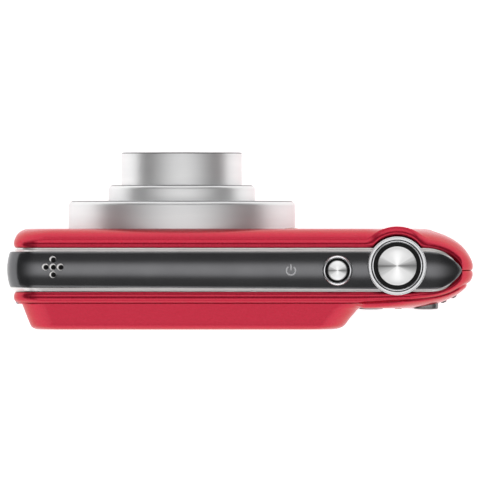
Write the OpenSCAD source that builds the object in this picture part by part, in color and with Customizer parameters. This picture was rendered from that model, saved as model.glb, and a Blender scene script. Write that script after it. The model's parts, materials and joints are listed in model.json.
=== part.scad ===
// Compact digital camera with a telescoping zoom lens.
// Frame: +Z up, the lens looks along -Y, and the origin is the mouth of the tripod socket.
// Millimetres. Plan and front outlines are given as distances from that origin.

/* [Body] */
// Overall width, across the band at the +X end
body_w = 96; // [95.5:0.1:96.5]
// Height of the band above the base
body_h = 58; // [57.8:0.1:58.4]
// Distance from the parting plane to the flat front face
front_depth = 8.6; // [8.5:0.05:8.7]
// Distance from the parting plane to the flat rear face beside the screen
rear_depth = 7.8; // [7.75:0.01:7.85]
// Distance from the parting plane to the face of the raised screen housing
screen_depth = 12.2; // [12.15:0.01:12.3]
// Wall thickness of the front and rear shells
wall = 1.3; // [1.2:0.05:1.35]

/* [Lens] */
// Lens axis, from the tripod axis towards +X
lens_x = 12.1; // [12:0.05:12.2]
// Lens axis above the base
lens_z = 28; // [27.8:0.1:28.2]
// Outer radius of the fixed ring round the lens
base_ring_r = 23.4; // [23:0.1:23.5]
// Outer radius of the first moving barrel
outer_barrel_r = 15.15; // [15.1:0.01:15.2]
// Outer radius of the second moving barrel
inner_barrel_r = 12.45; // [12.4:0.01:12.5]
// How far the first barrel draws back when the camera is switched off
outer_travel = 3.2; // [3:0.1:3.3]
// How far the second barrel draws back into the first one
inner_travel = 6.2; // [6:0.1:6.2]

/* [Buttons] */
// Outer radius of the shutter button's metal bezel
shutter_bezel_r = 6.02; // [5.9:0.02:6.1]
// Radius of the shutter button
shutter_r = 4; // [3.8:0.05:4.1]
// Outer radius of the power button's bezel
power_bezel_r = 3.03; // [2.95:0.02:3.1]
// Radius of the power button
power_r = 2.03; // [1.9:0.02:2.1]

/* [Hidden] */
$fn = 64;

// Overall outline, seen from the front
half_w = body_w / 2;
shell_x1 = half_w - 1.4;          // the band stands proud of the shells at the +X end
shell_z0 = 0.3;                   // the base plate and door carry the camera
shell_z1 = body_h - 0.6;
corner_r = [6.5, 9.5, 4, 5];      // +X top, -X top, -X bottom, +X bottom
corner_steps = 8;

// Rounding of the shells: each side curves in by depth between the start distance and the face
front_end_depth = 12.5;           // -X end, seen from above
rear_end_depth = 14.5;
round_start = 4.6;
front_top_depth = 6;
front_base_depth = 4.1;
front_side_start = 5.5;
front_side_depth = 3.1;
rear_top_depth = 3;
rear_side_start = 5.4;
rear_side_depth = 2.4;

// Band, frame and the round-ended tongue at the -X end
band_y0 = -3.7;
band_y1 = 3.4;
band_t = 0.8;
frame_y = 4.32;
frame_t = 1.6;
frame_z0 = 1.5;
tongue_x = -39.2;                 // where the straight edges end
tongue_len = 6.6;
shell_gap_y = 4.6;                // edge of the shells beside the frame

// Base plate, door and hinge
base_t = 1.5;
base_y = 5.4;
base_x0 = -8.8;
base_x1 = 42.9;
door_x0 = -43;
door_x1 = -9.1;
hinge_y = 4.75;
hinge_z = 0.66;
hinge_r = 0.62;
pin_r = 0.35;

// Tripod thread, 1/4 inch, drawn as a plain bore at its outside diameter
tripod_r = 3.175;
tripod_bush_r = 4;
tripod_bush_h = 6;

// Top controls
shutter_x = -32.2;
shutter_y = -0.95;
shutter_boss_r = 8.15;
power_x = -19.95;
power_y = 0;
well_r = 4.79;
power_well_r = 2.36;
seat_z = body_h - 0.5;
well_floor = body_h - 0.3;
power_floor = body_h - 0.55;
shutter_travel = 0.5;
power_travel = 0.3;
switch_top = body_h - 4.7;
vent_x = 38.35;
vent_y = -0.64;
vent_pitch = 1.53;
vent_r = 0.57;

// Lens, as distances in front of the parting plane
ring_front = 14.32;
outer_front = 17.59;
inner_front = 24.34;
tube_r = 15.35;                   // inside of the fixed guide tube
cam_r = 16.8;
lens_hole_r = 17.4;
opening_r = 5.2;                  // clear opening in the front bezel
blade_r = 11;
blade_open = 5.6;

// Zoom gears
gear_m = 0.4;
ring_teeth = 94;
pinion_teeth = 12;
tooth_share = 0.42;               // share of the pitch that a tooth fills, the rest is backlash
addendum = 0.28;
dedendum = 0.36;
mesh_angle = 45;                  // where the pinion meets the ring, seen from the front
gear_back = 1.5;                  // rear face of both gears
gear_w = 2;
centre_distance = gear_m * (ring_teeth + pinion_teeth) / 2;
pinion_x = lens_x + centre_distance * cos(mesh_angle);
pinion_z = lens_z + centre_distance * sin(mesh_angle);

// Rear controls
key_w = 5.1;
key_h = 4.2;
key_face = 8.1;
key_x = [-26.9, -38.2];
key_z = [47.5, 11.5];
pad_x = -32.5;
pad_z = 29.5;
pad_r = 8.3;
pad_hole_r = 3.9;
ok_r = 3.4;
board_face = 5.1;

// Screen
screen_x = 11.4;
screen_z = 27.4;
window_w = 57.6;
window_h = 42.4;

// Helpers -------------------------------------------------------------------

function ease(t) = 1 - sqrt(1 - min(t, 1) * min(t, 1));
function curved_in(y, start, end, depth) = y <= start ? 0 : depth * ease((y - start) / (end - start));
function polar(r, a) = [r * cos(a), r * sin(a)];
function corner(cx, cz, r, from) =
    [for (i = [0:corner_steps]) [cx, cz] + polar(r, from + 90 * i / corner_steps)];
function outline(x0, x1, z0, z1, r) = concat(
    corner(x1 - r[0], z1 - r[0], r[0], 0), corner(x0 + r[1], z1 - r[1], r[1], 90),
    corner(x0 + r[2], z0 + r[2], r[2], 180), corner(x1 - r[3], z0 + r[3], r[3], 270));
function at_y(points, y) = [for (p = points) [p[0], y, p[1]]];
// Quarter round from the side of a turned part to its end
function rim(r, h, f, steps = 6) =
    [for (i = [0:steps]) [r - f, h - f] + polar(f, 90 * i / steps)];

// Skin over a list of loops, which run anticlockwise seen against the way they are stacked
module loft(loops) {
    n = len(loops[0]);
    last = len(loops) - 1;
    sides = [for (i = [0:last - 1]) for (j = [0:n - 1]) let (k = (j + 1) % n)
        each [[i * n + j, i * n + k, (i + 1) * n + k], [i * n + j, (i + 1) * n + k, (i + 1) * n + j]]];
    polyhedron(points = [for (l = loops) each l],
        faces = concat([[for (j = [n - 1:-1:0]) j]], sides, [[for (j = [0:n - 1]) last * n + j]]));
}

module along_y(y0, y1) translate([0, y1, 0]) rotate([90, 0, 0]) linear_extrude(height = y1 - y0) children();
module along_z(z0, z1) translate([0, 0, z0]) linear_extrude(height = z1 - z0) children();
module rod_y(x, z, r, y0, y1) translate([x, y1, z]) rotate([90, 0, 0]) cylinder(r = r, h = y1 - y0);
module rod_z(x, y, r, z0, z1) translate([x, y, z0]) cylinder(r = r, h = z1 - z0);
module rod_x(y, z, r, x0, x1) translate([x0, y, z]) rotate([0, 90, 0]) cylinder(r = r, h = x1 - x0);
module block(x, y, z) translate([x[0], y[0], z[0]]) cube([x[1] - x[0], y[1] - y[0], z[1] - z[0]]);
// Turned about the lens axis: profile points are radius and distance in front of the parting plane
module turned_y(points) translate([lens_x, 0, lens_z]) rotate([90, 0, 0]) rotate_extrude() polygon(points);
module turned_z(x, y, points) translate([x, y, 0]) rotate_extrude() polygon(points);

// Rounded rectangle in the front view, made of true arcs
module rounded(x, z, r) {
    translate([x[0] + r, z[0]]) square([x[1] - x[0] - 2 * r, z[1] - z[0]]);
    translate([x[0], z[0] + r]) square([x[1] - x[0], z[1] - z[0] - 2 * r]);
    for (cx = [x[0] + r, x[1] - r], cz = [z[0] + r, z[1] - r]) translate([cx, cz]) circle(r = r);
}

// Shell forms -----------------------------------------------------------------

// Front view outline of the front shell at a distance y in front of the parting plane, w inside its surface
function front_loop(y, w) = let (end = front_depth - w) at_y(outline(
    -half_w + w + curved_in(y, 0, end, front_end_depth),
    shell_x1 - w - curved_in(y, front_side_start, end, front_side_depth),
    shell_z0 + w + curved_in(y, round_start, end, front_base_depth),
    shell_z1 - w - curved_in(y, round_start, end, front_top_depth), corner_r - [w, w, w, w]), -y);
function rear_loop(y, w) = let (end = rear_depth - w) at_y(outline(
    -half_w + w + curved_in(y, 0, end, rear_end_depth),
    shell_x1 - w - curved_in(y, rear_side_start, end, rear_side_depth),
    shell_z0 + w + curved_in(y, round_start, end, rear_top_depth),
    shell_z1 - w - curved_in(y, round_start, end, rear_top_depth), corner_r - [w, w, w, w]), y);
front_steps = [1, 0.98, 0.92, 0.82, 0.68, 0.53, 0.36, 0.2, 0];
rear_steps = [0, 0.2, 0.36, 0.52, 0.68, 0.82, 0.92, 0.98, 1];
module front_form(w) loft(concat([for (s = front_steps) front_loop(s * (front_depth - w), w)],
    w > 0 ? [at_y([for (p = front_loop(0, w)) [p[0], p[2]]], 0.5)] : []));
module rear_form(w) loft(concat(w > 0 ? [at_y([for (p = rear_loop(0, w)) [p[0], p[2]]], -0.5)] : [],
    [for (s = rear_steps) rear_loop(s * (rear_depth - w), w)]));

// Raised housing behind the screen: a frustum with a rounded crest
housing_y = [6.8, 11, 11.8, 12.2] * screen_depth / 12.2;
housing_x0 = [-25.1, -21.7, -20.6, -18.9];
housing_x1 = [44.9, 43.3, 42.8, 41.8];
housing_z0 = [2.2, 3.9, 4.3, 5.2];
housing_z1 = [56, 52.2, 51.4, 50.2];
function housing_loop(i, w) = at_y(outline(housing_x0[i] + w, housing_x1[i] - w,
    housing_z0[i] + w, housing_z1[i] - w, [5, 5, 5, 5] - [w, w, w, w] / 2), housing_y[i]);
module housing_form() loft([for (i = [0:3]) housing_loop(i, 0)]);
module housing_hollow() loft(concat([at_y([for (p = housing_loop(0, 1.4)) [p[0], p[2]]], 5)],
    [at_y([for (p = housing_loop(0, 1.2)) [p[0], p[2]]], 6.8)],
    [at_y([for (p = housing_loop(1, 1.2)) [p[0], p[2]]], 10.75)]));

// Plan outline of the tongue: straight edges at +-y, then a half ellipse towards -X
module tongue_plan(y0, y1, grow) {
    n = 24;
    mid = (y0 + y1) / 2;
    half = (y1 - y0) / 2 + grow;
    polygon(concat([[60, mid - half], [60, mid + half]],
        [for (i = [0:n]) let (a = 90 + 180 * i / n)
            [tongue_x + (tongue_len + grow) * cos(a), mid + half * sin(a)]]));
}

// Casing ----------------------------------------------------------------------

module shell_openings() {
    along_z(45, 60) tongue_plan(-shell_gap_y, shell_gap_y, 0);
    block([43, 60], [-shell_gap_y, shell_gap_y], [-1, 60]);
    block([door_x0 - 0.15, 43.1], [-base_y - 0.2, base_y + 0.2], [-1, 3]);
    rod_z(shutter_x, shutter_y, shutter_bezel_r + 0.08, seat_z, 65);
}

module flash_opening(grow, y0, y1) along_y(y0, y1) rounded([-30.5 - grow, -17.5 + grow], [42.6 - grow, 48.6 + grow], 0.8);

module front_shell() color("crimson") difference() {
    union() {
        front_form(0);
        // boss round the front of the shutter bezel
        intersection() {
            rod_z(shutter_x, shutter_y, shutter_boss_r, 48, body_h - 0.1);
            block([-60, 0], [-20, -shell_gap_y], [40, 60]);
        }
    }
    front_form(wall);
    shell_openings();
    rod_y(lens_x, lens_z, lens_hole_r, -10, -6);
    flash_opening(0.12, -10, -6);
    rod_y(-10.5, 49, 1.78, -10, -6);
    for (i = [-1, 1]) rod_y(34.3 + i * 0.8, 50.2, 0.35, -10, -6);
}

key_holes = [for (x = key_x) for (z = key_z) [x, z]];
module key_outline(p, grow) translate(p) rounded([-key_w / 2 - grow, key_w / 2 + grow],
    [-key_h / 2 - grow, key_h / 2 + grow], 1.9 + grow);

module hinge_lugs(r) for (x = [[-13.6, -10.6], [-31, -21], [-41.6, -38.4]]) rod_x(hinge_y, hinge_z, r, x[0], x[1]);

module rear_shell() color("crimson") difference() {
    union() {
        difference() {
            union() {
                rear_form(0);
                housing_form();
            }
            rear_form(wall);
            housing_hollow();
            shell_openings();
        }
        // fixed knuckles of the door hinge, on webs from the bottom wall
        hinge_lugs(hinge_r);
        for (x = [[-13.6, -10.6], [-31, -21], [-41.6, -38.4]]) block(x, [hinge_y - 0.3, 6.2], [1, 1.9]);
        // backing for the strap lug's recess
        block([43.2, 45.4], [4.9, 6.9], [42.4, 51.6]);
    }
    hinge_lugs(pin_r + 0.01);
    along_y(11.2, 14) rounded([screen_x - window_w / 2 - 0.12, screen_x + window_w / 2 + 0.12],
        [screen_z - window_h / 2 - 0.12, screen_z + window_h / 2 + 0.12], 1.5);
    along_y(9, 14) rounded([screen_x - 27.5, screen_x + 27.5], [screen_z - 20.5, screen_z + 20.5], 1);
    for (p = key_holes) {
        along_y(4, 12) key_outline(p, 0.15);
        along_y(4, 6.4) key_outline(p, 0.5);
    }
    rod_y(pad_x, pad_z, pad_r + 0.25, 4, 12);
    rod_y(pad_x, 47.5, 0.8, 4, 12);
    for (p = grip_places) grip_dot(p, 1.5, 0.62);
    rod_z(45.9, 6.9, 1.5, 44.6, 49.4);
    for (z = [43.9, 50.1]) rod_z(45.75, 6.5, 0.47, z - 0.8, z + 0.8);
}

// The grip dots stand on the curved rear edge, square to it
grip_places = [for (i = [0:3]) for (x = [-42, -44.1]) [x, 20 + 5 * i]];
module grip_dot(p, down, r) {
    t = (p[0] + half_w - rear_end_depth) / rear_end_depth;
    y = rear_depth * sqrt(1 - t * t);
    lean = atan2(-t * rear_depth / rear_end_depth, y / rear_depth);
    translate([p[0], y, p[1]]) rotate([0, 0, lean]) rotate([-90, 0, 0]) translate([0, 0, -down])
        cylinder(r = r, h = down + 0.35);
}
module thumb_grips() color("dimgray") for (p = grip_places) grip_dot(p, 0.7, 0.6);

// C-shaped outline round the top, the +X end and the base
module c_profile(out, t) difference() {
    polygon(outline(-half_w + out, half_w - out, out, body_h - out, [7, 9.5, 6, 5] - [out, out, out, out]));
    polygon(outline(-half_w + out + t, half_w - out - t, out + t, body_h - out - t,
        [7, 9.5, 6, 5] - [out, out, out, out] - [t, t, t, t]));
}

module top_band() color("dimgray") difference() {
    intersection() {
        along_y(band_y0, band_y1) difference() {
            c_profile(0, band_t);
            translate([-60, -5]) square([60 + base_x1 + 0.1, 50]);
        }
        along_z(-1, 60) tongue_plan(band_y0, band_y1, -0.1);
    }
    rod_z(shutter_x, shutter_y, shutter_bezel_r + 0.08, seat_z, 65);
    rod_z(shutter_x, shutter_y, 1.75, 50, 65);
    rod_z(power_x, power_y, power_bezel_r + 0.05, 50, 65);
    for (d = [[0, 0], [1, 0], [-1, 0], [0, 1], [0, -1]])
        rod_z(vent_x + d[0] * vent_pitch, vent_y + d[1] * vent_pitch, vent_r, 50, 65);
    block([46.8, 50], [-2.96, 2.66], [11.9, 24.12]);
    for (z = screw_heights) rod_x(0, z, 1.5, 46.5, 50);
}

screw_heights = [34, 50];
screw_places = [10, 38];

module mid_frame() color("silver") difference() {
    union() {
        intersection() {
            along_y(-frame_y, frame_y) difference() {
                c_profile(band_t, frame_t);
                translate([-60, -5]) square([100, 50]);
                translate([-60, -5]) square([120, 5 + frame_z0]);
            }
            along_z(-1, 60) tongue_plan(-frame_y, frame_y, 0);
        }
        block([base_x0, 43], [-frame_y, frame_y], [frame_z0, 3.3]);
        block([40, 45.7], [-frame_y, frame_y], [frame_z0 + 0.9, 4.4]);
        rod_z(0, 0, 5.6, frame_z0, tripod_bush_h + 0.3);
    }
    rod_z(0, 0, tripod_bush_r + 0.03, 0, 10);
    rod_z(shutter_x, shutter_y, 1.75, 50, 65);
    rod_z(power_x, power_y, 0.9, 50, 65);
    rod_z(vent_x, vent_y, 2.6, 50, 65);
    block([44, 50], [-1.9, 1.6], [13.9, 22.1]);
    block([46.8, 50], [-3.1, 2.8], [11.8, 24.3]);
    for (z = screw_heights) rod_x(0, z, 0.85, 44, 50);
    for (x = screw_places) rod_z(x, 0, 0.85, 0, 6);
}

module base_plate() color("dimgray") difference() {
    block([base_x0, base_x1], [-base_y, base_y], [0, base_t]);
    rod_z(0, 0, tripod_bush_r + 0.03, -1, 3);
    for (x = screw_places) {
        rod_z(x, 0, 1.5, -1, 0.8);
        rod_z(x, 0, 0.9, -1, 3);
    }
}

module tripod_bush() color("gold") difference() {
    rod_z(0, 0, tripod_bush_r, 0, tripod_bush_h);
    rod_z(0, 0, tripod_r, -1, tripod_bush_h - 0.8);
}

// Pan-head screw with a cross recess, head down at z = 0
module screw() difference() {
    union() {
        rod_z(0, 0, 1.4, 0.1, 0.75);
        rod_z(0, 0, 0.8, 0.7, 4);
    }
    for (a = [0, 90]) rotate([0, 0, a]) block([-0.8, 0.8], [-0.18, 0.18], [-1, 0.45]);
}
module case_screws() color("gainsboro") {
    for (x = screw_places) translate([x, 0, 0]) screw();
    for (z = screw_heights) translate([half_w - 0.05, 0, z]) rotate([0, -90, 0]) screw();
}

module battery_door() color("dimgray") difference() {
    union() {
        block([door_x0, door_x1], [-base_y, hinge_y - 0.75], [0, base_t]);
        for (x = [[-20.8, -13.8], [-38.2, -31.2]]) {
            rod_x(hinge_y, hinge_z, hinge_r, x[0], x[1]);
            block(x, [hinge_y - 1, hinge_y], [hinge_z - hinge_r, hinge_z + 0.3]);
        }
    }
    rod_x(hinge_y, hinge_z, pin_r + 0.05, -50, 0);
    block([-31.2, -23.2], [-4.4, -2.2], [-1, 0.9]);
}
module door_pin() color("silver") rod_x(hinge_y, hinge_z, pin_r, -41.5, -10.7);
module door_latch() color("gray") difference() {
    block([-31, -25], [-4.3, -2.3], [0.05, 0.85]);
    for (i = [-2:2]) block([-28 + i - 0.15, -28 + i + 0.15], [-4, -2.6], [-1, 0.3]);
}

module strap_lug() color("silver") {
    rod_z(45.75, 6.5, 0.45, 43.2, 50.8);
}

module port_cover() color("dimgray") difference() {
    union() {
        block([46.95, 47.95], [-2.9, 2.6], [12.6, 24]);
        translate([47.45, -2.9, 12.6]) rotate([-90, 0, 0]) cylinder(r = 0.5, h = 5.5);
    }
    block([47.75, 49], [-1, 0.7], [22.4, 23.1]);
}

module usb_socket() color("silver") {
    difference() {
        block([41, 46.5], [-1.4, 1.1], [14.2, 21.8]);
        block([41.3, 50], [-1.1, 0.8], [14.5, 21.5]);
    }
    block([41.2, 45.8], [-0.45, 0.15], [15.4, 20.6]);
}

// Top controls ------------------------------------------------------------------

module shutter_bezel() color("gainsboro") turned_z(shutter_x, shutter_y, concat(
    [[1.75, seat_z], [shutter_bezel_r, seat_z]], rim(shutter_bezel_r, body_h + 0.9, 0.4),
    [[5.3, body_h + 0.9], [5.18, body_h + 0.7], [5.08, body_h + 0.7], [5, body_h + 0.85],
    [well_r + 0.06, body_h + 0.85], [well_r, body_h + 0.75], [well_r, well_floor], [1.75, well_floor]]));

module power_bezel() color("gainsboro") turned_z(power_x, power_y, concat(
    [[0.9, body_h - band_t], [power_bezel_r, body_h - band_t]], rim(power_bezel_r, body_h + 0.55, 0.2),
    [[power_well_r + 0.1, body_h + 0.55], [power_well_r, body_h + 0.4],
    [power_well_r, power_floor], [0.9, power_floor]]));

// Round button with a dished, spun face and a stem
module round_button(x, y, r, z0, z1, dish, stem_r, stem_z) {
    n = 8;
    face = [for (i = [0:n]) let (t = 1 - i / n) [(r - 0.25) * t, z1 - dish * (1 - t * t)]];
    turned_z(x, y, concat([[0, stem_z], [stem_r, stem_z], [stem_r, z0], [r, z0], [r, z1 - 0.2]], face));
}
module shutter_button() color("silver")
    round_button(shutter_x, shutter_y, shutter_r, body_h + 0.45, body_h + 1.2, 0.3, 1.67, switch_top + shutter_travel + 0.05);
module power_button() color("silver")
    round_button(power_x, power_y, power_r, body_h + 0.05, body_h + 0.6, 0.15, 0.82, switch_top + power_travel + 0.05);

// Conical spring, so that it can be pressed flat: wire radius w, coil radius r0 at z0 to r1 at z1
module coil(x, y, r0, r1, w, z0, z1, turns) {
    steps = 16;
    sides = 6;
    count = turns * steps;
    translate([x, y, 0]) loft([for (i = [0:count])
        let (a = 360 * i / steps, t = i / count, r = r0 + (r1 - r0) * t, z = z0 + w + (z1 - z0 - 2 * w) * t)
        [for (j = [0:sides - 1]) let (b = 360 * j / sides, q = r + w * cos(b)) [q * cos(a), q * sin(a), z + w * sin(b)]]]);
}
module shutter_spring() color("silver")
    coil(shutter_x, shutter_y, 3.6, 2.1, 0.1, well_floor + 0.01, body_h + 0.44, 2);
module power_spring() color("silver")
    coil(power_x, power_y, 1.85, 1.1, 0.08, power_floor + 0.01, body_h + 0.04, 2);

module top_board() color("darkgreen") {
    block([-38.5, -15], [-3.2, 3.2], [body_h - 6, body_h - 5.2]);
    for (p = [[shutter_x, shutter_y], [power_x, power_y]]) {
        translate([p[0], p[1], body_h - 5.2]) translate([-1.5, -1.5, 0]) cube([3, 3, 0.3]);
        rod_z(p[0], p[1], 0.7, body_h - 5, switch_top);
    }
}
module speaker() color("dimgray") {
    rod_z(vent_x, vent_y, 4.2, body_h - 4.8, body_h - 3.2);
    rod_z(vent_x, vent_y, 3.2, body_h - 3.3, body_h - 2.6);
}
module microphone() color("silver") rod_y(34.3, 50.2, 1.8, -6.9, -5.1);

// Front face ----------------------------------------------------------------------

module flash_window() color("whitesmoke") flash_opening(0, -front_depth, -7.2);
module flash_unit() color("silver") difference() {
    block([-31, -17], [-7.15, -3.6], [42.7, 48.3]);
    along_y(-9, -4.4) rounded([-30, -18], [43.5, 47.5], 1);
    rod_x(-5.4, 45.5, 0.9, -33, -15);
}
module flash_capacitor() color("midnightblue") rod_z(40.5, -2.5, 3.6, 27, 51);
module af_lamp() color("orange") turned_lamp();
module turned_lamp() translate([-10.5, 0, 49]) rotate([90, 0, 0]) rotate_extrude()
    polygon([[0, 6.4], [1.3, 6.4], [1.3, 7.1], [1.7, 7.1], [1.7, 8.5], [1.2, 8.68], [0, 8.78]]);

// Lens ------------------------------------------------------------------------------

module lens_base_ring() color("silver") turned_y(concat([[22.2, front_depth], [base_ring_r, front_depth]],
    rim(base_ring_r, ring_front, 0.9), [[outer_barrel_r + 0.3, ring_front], [outer_barrel_r + 0.3, 13.25], [22.2, 13.25]]));

module lens_guide_tube() color("dimgray") difference() {
    union() {
        turned_y([[tube_r, -4.2], [tube_r, 13], [15.9, 13], [15.9, -4.2]]);
        rod_y(lens_x, lens_z, 19.6, 4.2, 5);
    }
    block([lens_x - 4.6, lens_x + 4.6], [3, 6], [lens_z - 3.9, lens_z + 3.9]);
}

// Gear tooth with involute flanks, centred on the direction mid
function roll(r, rb) = r <= rb ? 0 : sqrt(r * r / (rb * rb) - 1) * 180 / PI - acos(rb / r);
function half_tooth(r, n) = let (rp = gear_m * n / 2, rb = rp * cos(20))
    tooth_share * 180 / n + roll(rp, rb) - roll(r, rb);
function tooth(n, mid) = let (rp = gear_m * n / 2, steps = 3,
    radii = [for (i = [0:steps]) rp - dedendum + (addendum + dedendum) * i / steps])
    concat([for (i = [0:steps]) polar(radii[i], mid - half_tooth(radii[i], n))],
        [for (i = [steps:-1:0]) polar(radii[i], mid + half_tooth(radii[i], n))]);

// The cam ring turns by up to 60 degrees, so only part of its flange is toothed
sector_teeth = 22;
module cam_ring() color("gray") {
    pitch = 360 / ring_teeth;
    first = mesh_angle - 0.5 * pitch - (sector_teeth - 3) * pitch;
    arc_in = 16.4;
    span = (sector_teeth - 1) * pitch;
    turned_y([[16, -gear_back], [16, 13], [cam_r, 13], [cam_r, -gear_back]]);
    along_y(gear_back - gear_w, gear_back) translate([lens_x, lens_z]) polygon(concat(
        [for (i = [0:sector_teeth - 1]) each tooth(ring_teeth, first + i * pitch)],
        [for (i = [24:-1:0]) polar(arc_in, first - 1 + (span + 2) * i / 24)]));
}
module zoom_pinion() color("gold") {
    along_y(gear_back - gear_w, gear_back) translate([pinion_x, pinion_z])
        polygon([for (i = [0:pinion_teeth - 1]) each tooth(pinion_teeth, mesh_angle + 180 + 360 * i / pinion_teeth)]);
    rod_y(pinion_x, pinion_z, 0.5, -5, gear_back + 0.3);
}
module zoom_motor() color("silver") difference() {
    union() {
        rod_y(pinion_x, pinion_z, 3, -7, -1.4);
        rod_y(pinion_x, pinion_z, 1.2, -1.5, -0.8);
    }
    rod_y(pinion_x, pinion_z, 0.56, -5.4, 1);
}

module outer_barrel() color("silver") turned_y(concat([[6, 6.6], [outer_barrel_r, 6.6]],
    rim(outer_barrel_r, outer_front, 0.85), [[inner_barrel_r + 0.25, outer_front], [inner_barrel_r + 0.25, 16.6],
    [13.9, 16.6], [13.9, 8.5], [6, 8.5]]));
module inner_barrel() color("silver") turned_y(concat([[11.5, 15], [13.7, 15], [13.7, 15.8], [inner_barrel_r, 15.8]],
    rim(inner_barrel_r, inner_front, 0.85), [[11.5, inner_front], [11.5, 23.15], [5.45, 23.15], [5.45, 19.8], [11.5, 19.8]]));
module lens_bezel() color("black") turned_y([[opening_r + 0.5, 23.6], [11.46, 23.6], [11.46, 24.2],
    [7.2, 24.2], [6.9, 24.05], [opening_r, 23.85], [opening_r, 23.7]]);
module blade(side) along_y(-23.52, -23.22) translate([lens_x, lens_z]) intersection() {
    circle(r = blade_r);
    translate([-15, side > 0 ? blade_open : -blade_open - 15]) square([30, 15]);
}
module barrier_blade_upper() color("dimgray") blade(1);
module barrier_blade_lower() color("dimgray") blade(-1);

// Glass disc between two distances, each face bulging or hollowed by its own depth
module glass(r, back, front, bulge_back, bulge_front) {
    n = 8;
    turned_y(concat([for (i = [0:n]) let (t = i / n) [r * t, back + bulge_back * (1 - t * t)]],
        [for (i = [n:-1:0]) let (t = i / n) [r * t, front + bulge_front * (1 - t * t)]]));
}
module front_lens() color("lightblue") glass(5.4, 20, 21.7, 0.3, 1.2);
module middle_lens() color("lightblue") glass(5.95, 6.9, 8.1, -0.2, 0.3);
module focus_lens() color("lightblue") glass(4.15, -0.9, 0.5, -0.2, 0.2);

rod_r = 0.6;
rod_reach = 10.8;
nut_reach = 11.2;
module focus_carrier() color("dimgray") difference() {
    union() {
        rod_y(lens_x, lens_z, 8.6, -0.8, 1.2);
        for (s = [-1, 1]) rod_y(lens_x + s * rod_reach, lens_z, 1.5, -0.8, 1.2);
        block([lens_x - rod_reach, lens_x + rod_reach], [-0.8, 1.2], [lens_z - 1.2, lens_z + 1.2]);
        rod_y(lens_x, lens_z + nut_reach, 1.2, -0.8, 0.4);
        block([lens_x - 1, lens_x + 1], [-0.8, 0.4], [lens_z + 5, lens_z + nut_reach]);
    }
    rod_y(lens_x, lens_z, 4.2, -2, 2);
    for (s = [-1, 1]) rod_y(lens_x + s * rod_reach, lens_z, rod_r + 0.05, -2, 2);
    rod_y(lens_x, lens_z + nut_reach, 0.46, -2, 2);
}
// Stepper motor, its lead screw and the two guide rods
module focus_drive() color("silver") {
    for (s = [-1, 1]) rod_y(lens_x + s * rod_reach, lens_z, rod_r, -3.2, 4.2);
    rod_y(lens_x, lens_z + nut_reach, 2.2, 2, 4.2);
    rod_y(lens_x, lens_z + nut_reach, 0.4, -2.9, 2.1);
}
module image_sensor() color("midnightblue") block([lens_x - 4.1, lens_x + 4.1], [3.9, 5.02], [lens_z - 3.4, lens_z + 3.4]);
module sensor_board() color("darkgreen") block([lens_x - 11, lens_x + 11], [5.02, 5.7], [lens_z - 9, lens_z + 9]);

// Boards and screen --------------------------------------------------------------------

module main_board() color("darkgreen") {
    block([-19.5, 41.5], [6, 6.8], [6, 51]);
    block([2, 16], [6.7, 7.7], [30, 44]);
    block([22, 32], [6.7, 7.6], [12, 22]);
    block([-14, -7], [6.7, 7.5], [14, 24]);
}
module key_board() color("darkgreen") {
    block([-40, -21.5], [4.45, board_face], [9, 50]);
    for (p = key_holes) rod_y(p[0], p[1], 1.3, 5, 5.35);
    rod_y(pad_x, pad_z, 1.3, 5, 5.35);
    for (a = [0:90:270]) rod_y(pad_x + 6.6 * cos(a), pad_z + 6.6 * sin(a), 1.2, 5, 5.55);
}
module lcd_module() color("gainsboro") block([screen_x - 29.4, screen_x + 29.4], [8.2, 10.65], [screen_z - 21.4, screen_z + 21.2]);
module lcd_window() color("black") along_y(11.22, screen_depth - 0.05)
    rounded([screen_x - window_w / 2, screen_x + window_w / 2], [screen_z - window_h / 2, screen_z + window_h / 2], 1.4);
module lcd_ribbon() color("orange") {
    block([8, 24], [9.25, 9.4], [4.9, 5.85]);
    block([8, 24], [5.84, 9.4], [4.9, 5.05]);
    block([8, 24], [5.84, 5.99], [4.9, 9.5]);
}

// Battery and card -----------------------------------------------------------------------

module battery() color("dimgray") block([-41.5, -10.1], [-4.85, 1.05], [2.4, 41.9]);
module battery_tray() color("dimgray") difference() {
    block([-41.9, -9.5], [-5.4, 1.4], [2.2, 42.5]);
    block([-41.55, -10], [-4.93, 1.13], [2, 42]);
}
module sd_socket() color("silver") difference() {
    block([-39.5, -13.5], [1.5, 4.3], [4, 35.5]);
    block([-39.2, -13.8], [1.8, 4], [2, 35]);
}

// Rear controls ----------------------------------------------------------------------------

module rear_key(p) color("silver") {
    along_y(5.9, key_face) key_outline(p, 0);
    along_y(5.9, 6.25) key_outline(p, 0.32);
}
module wide_key() rear_key([key_x[0], key_z[0]]);
module tele_key() rear_key([key_x[1], key_z[0]]);
module menu_key() rear_key([key_x[0], key_z[1]]);
module delete_key() rear_key([key_x[1], key_z[1]]);
module ok_key() color("silver") rod_y(pad_x, pad_z, ok_r, 5.85, 7.75);
module dpad() color("silver") difference() {
    rod_y(pad_x, pad_z, pad_r, 6, 7.85);
    rod_y(pad_x, pad_z, pad_hole_r, 5, 9);
}
module dpad_rubber() color("dimgray") difference() {
    rod_y(pad_x, pad_z, 5, 5.42, 5.72);
    rod_y(pad_x, pad_z, 3.7, 5, 7);
}
module status_led() color("lime") rod_y(pad_x, 47.5, 0.72, 6.2, 7.9);

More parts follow.
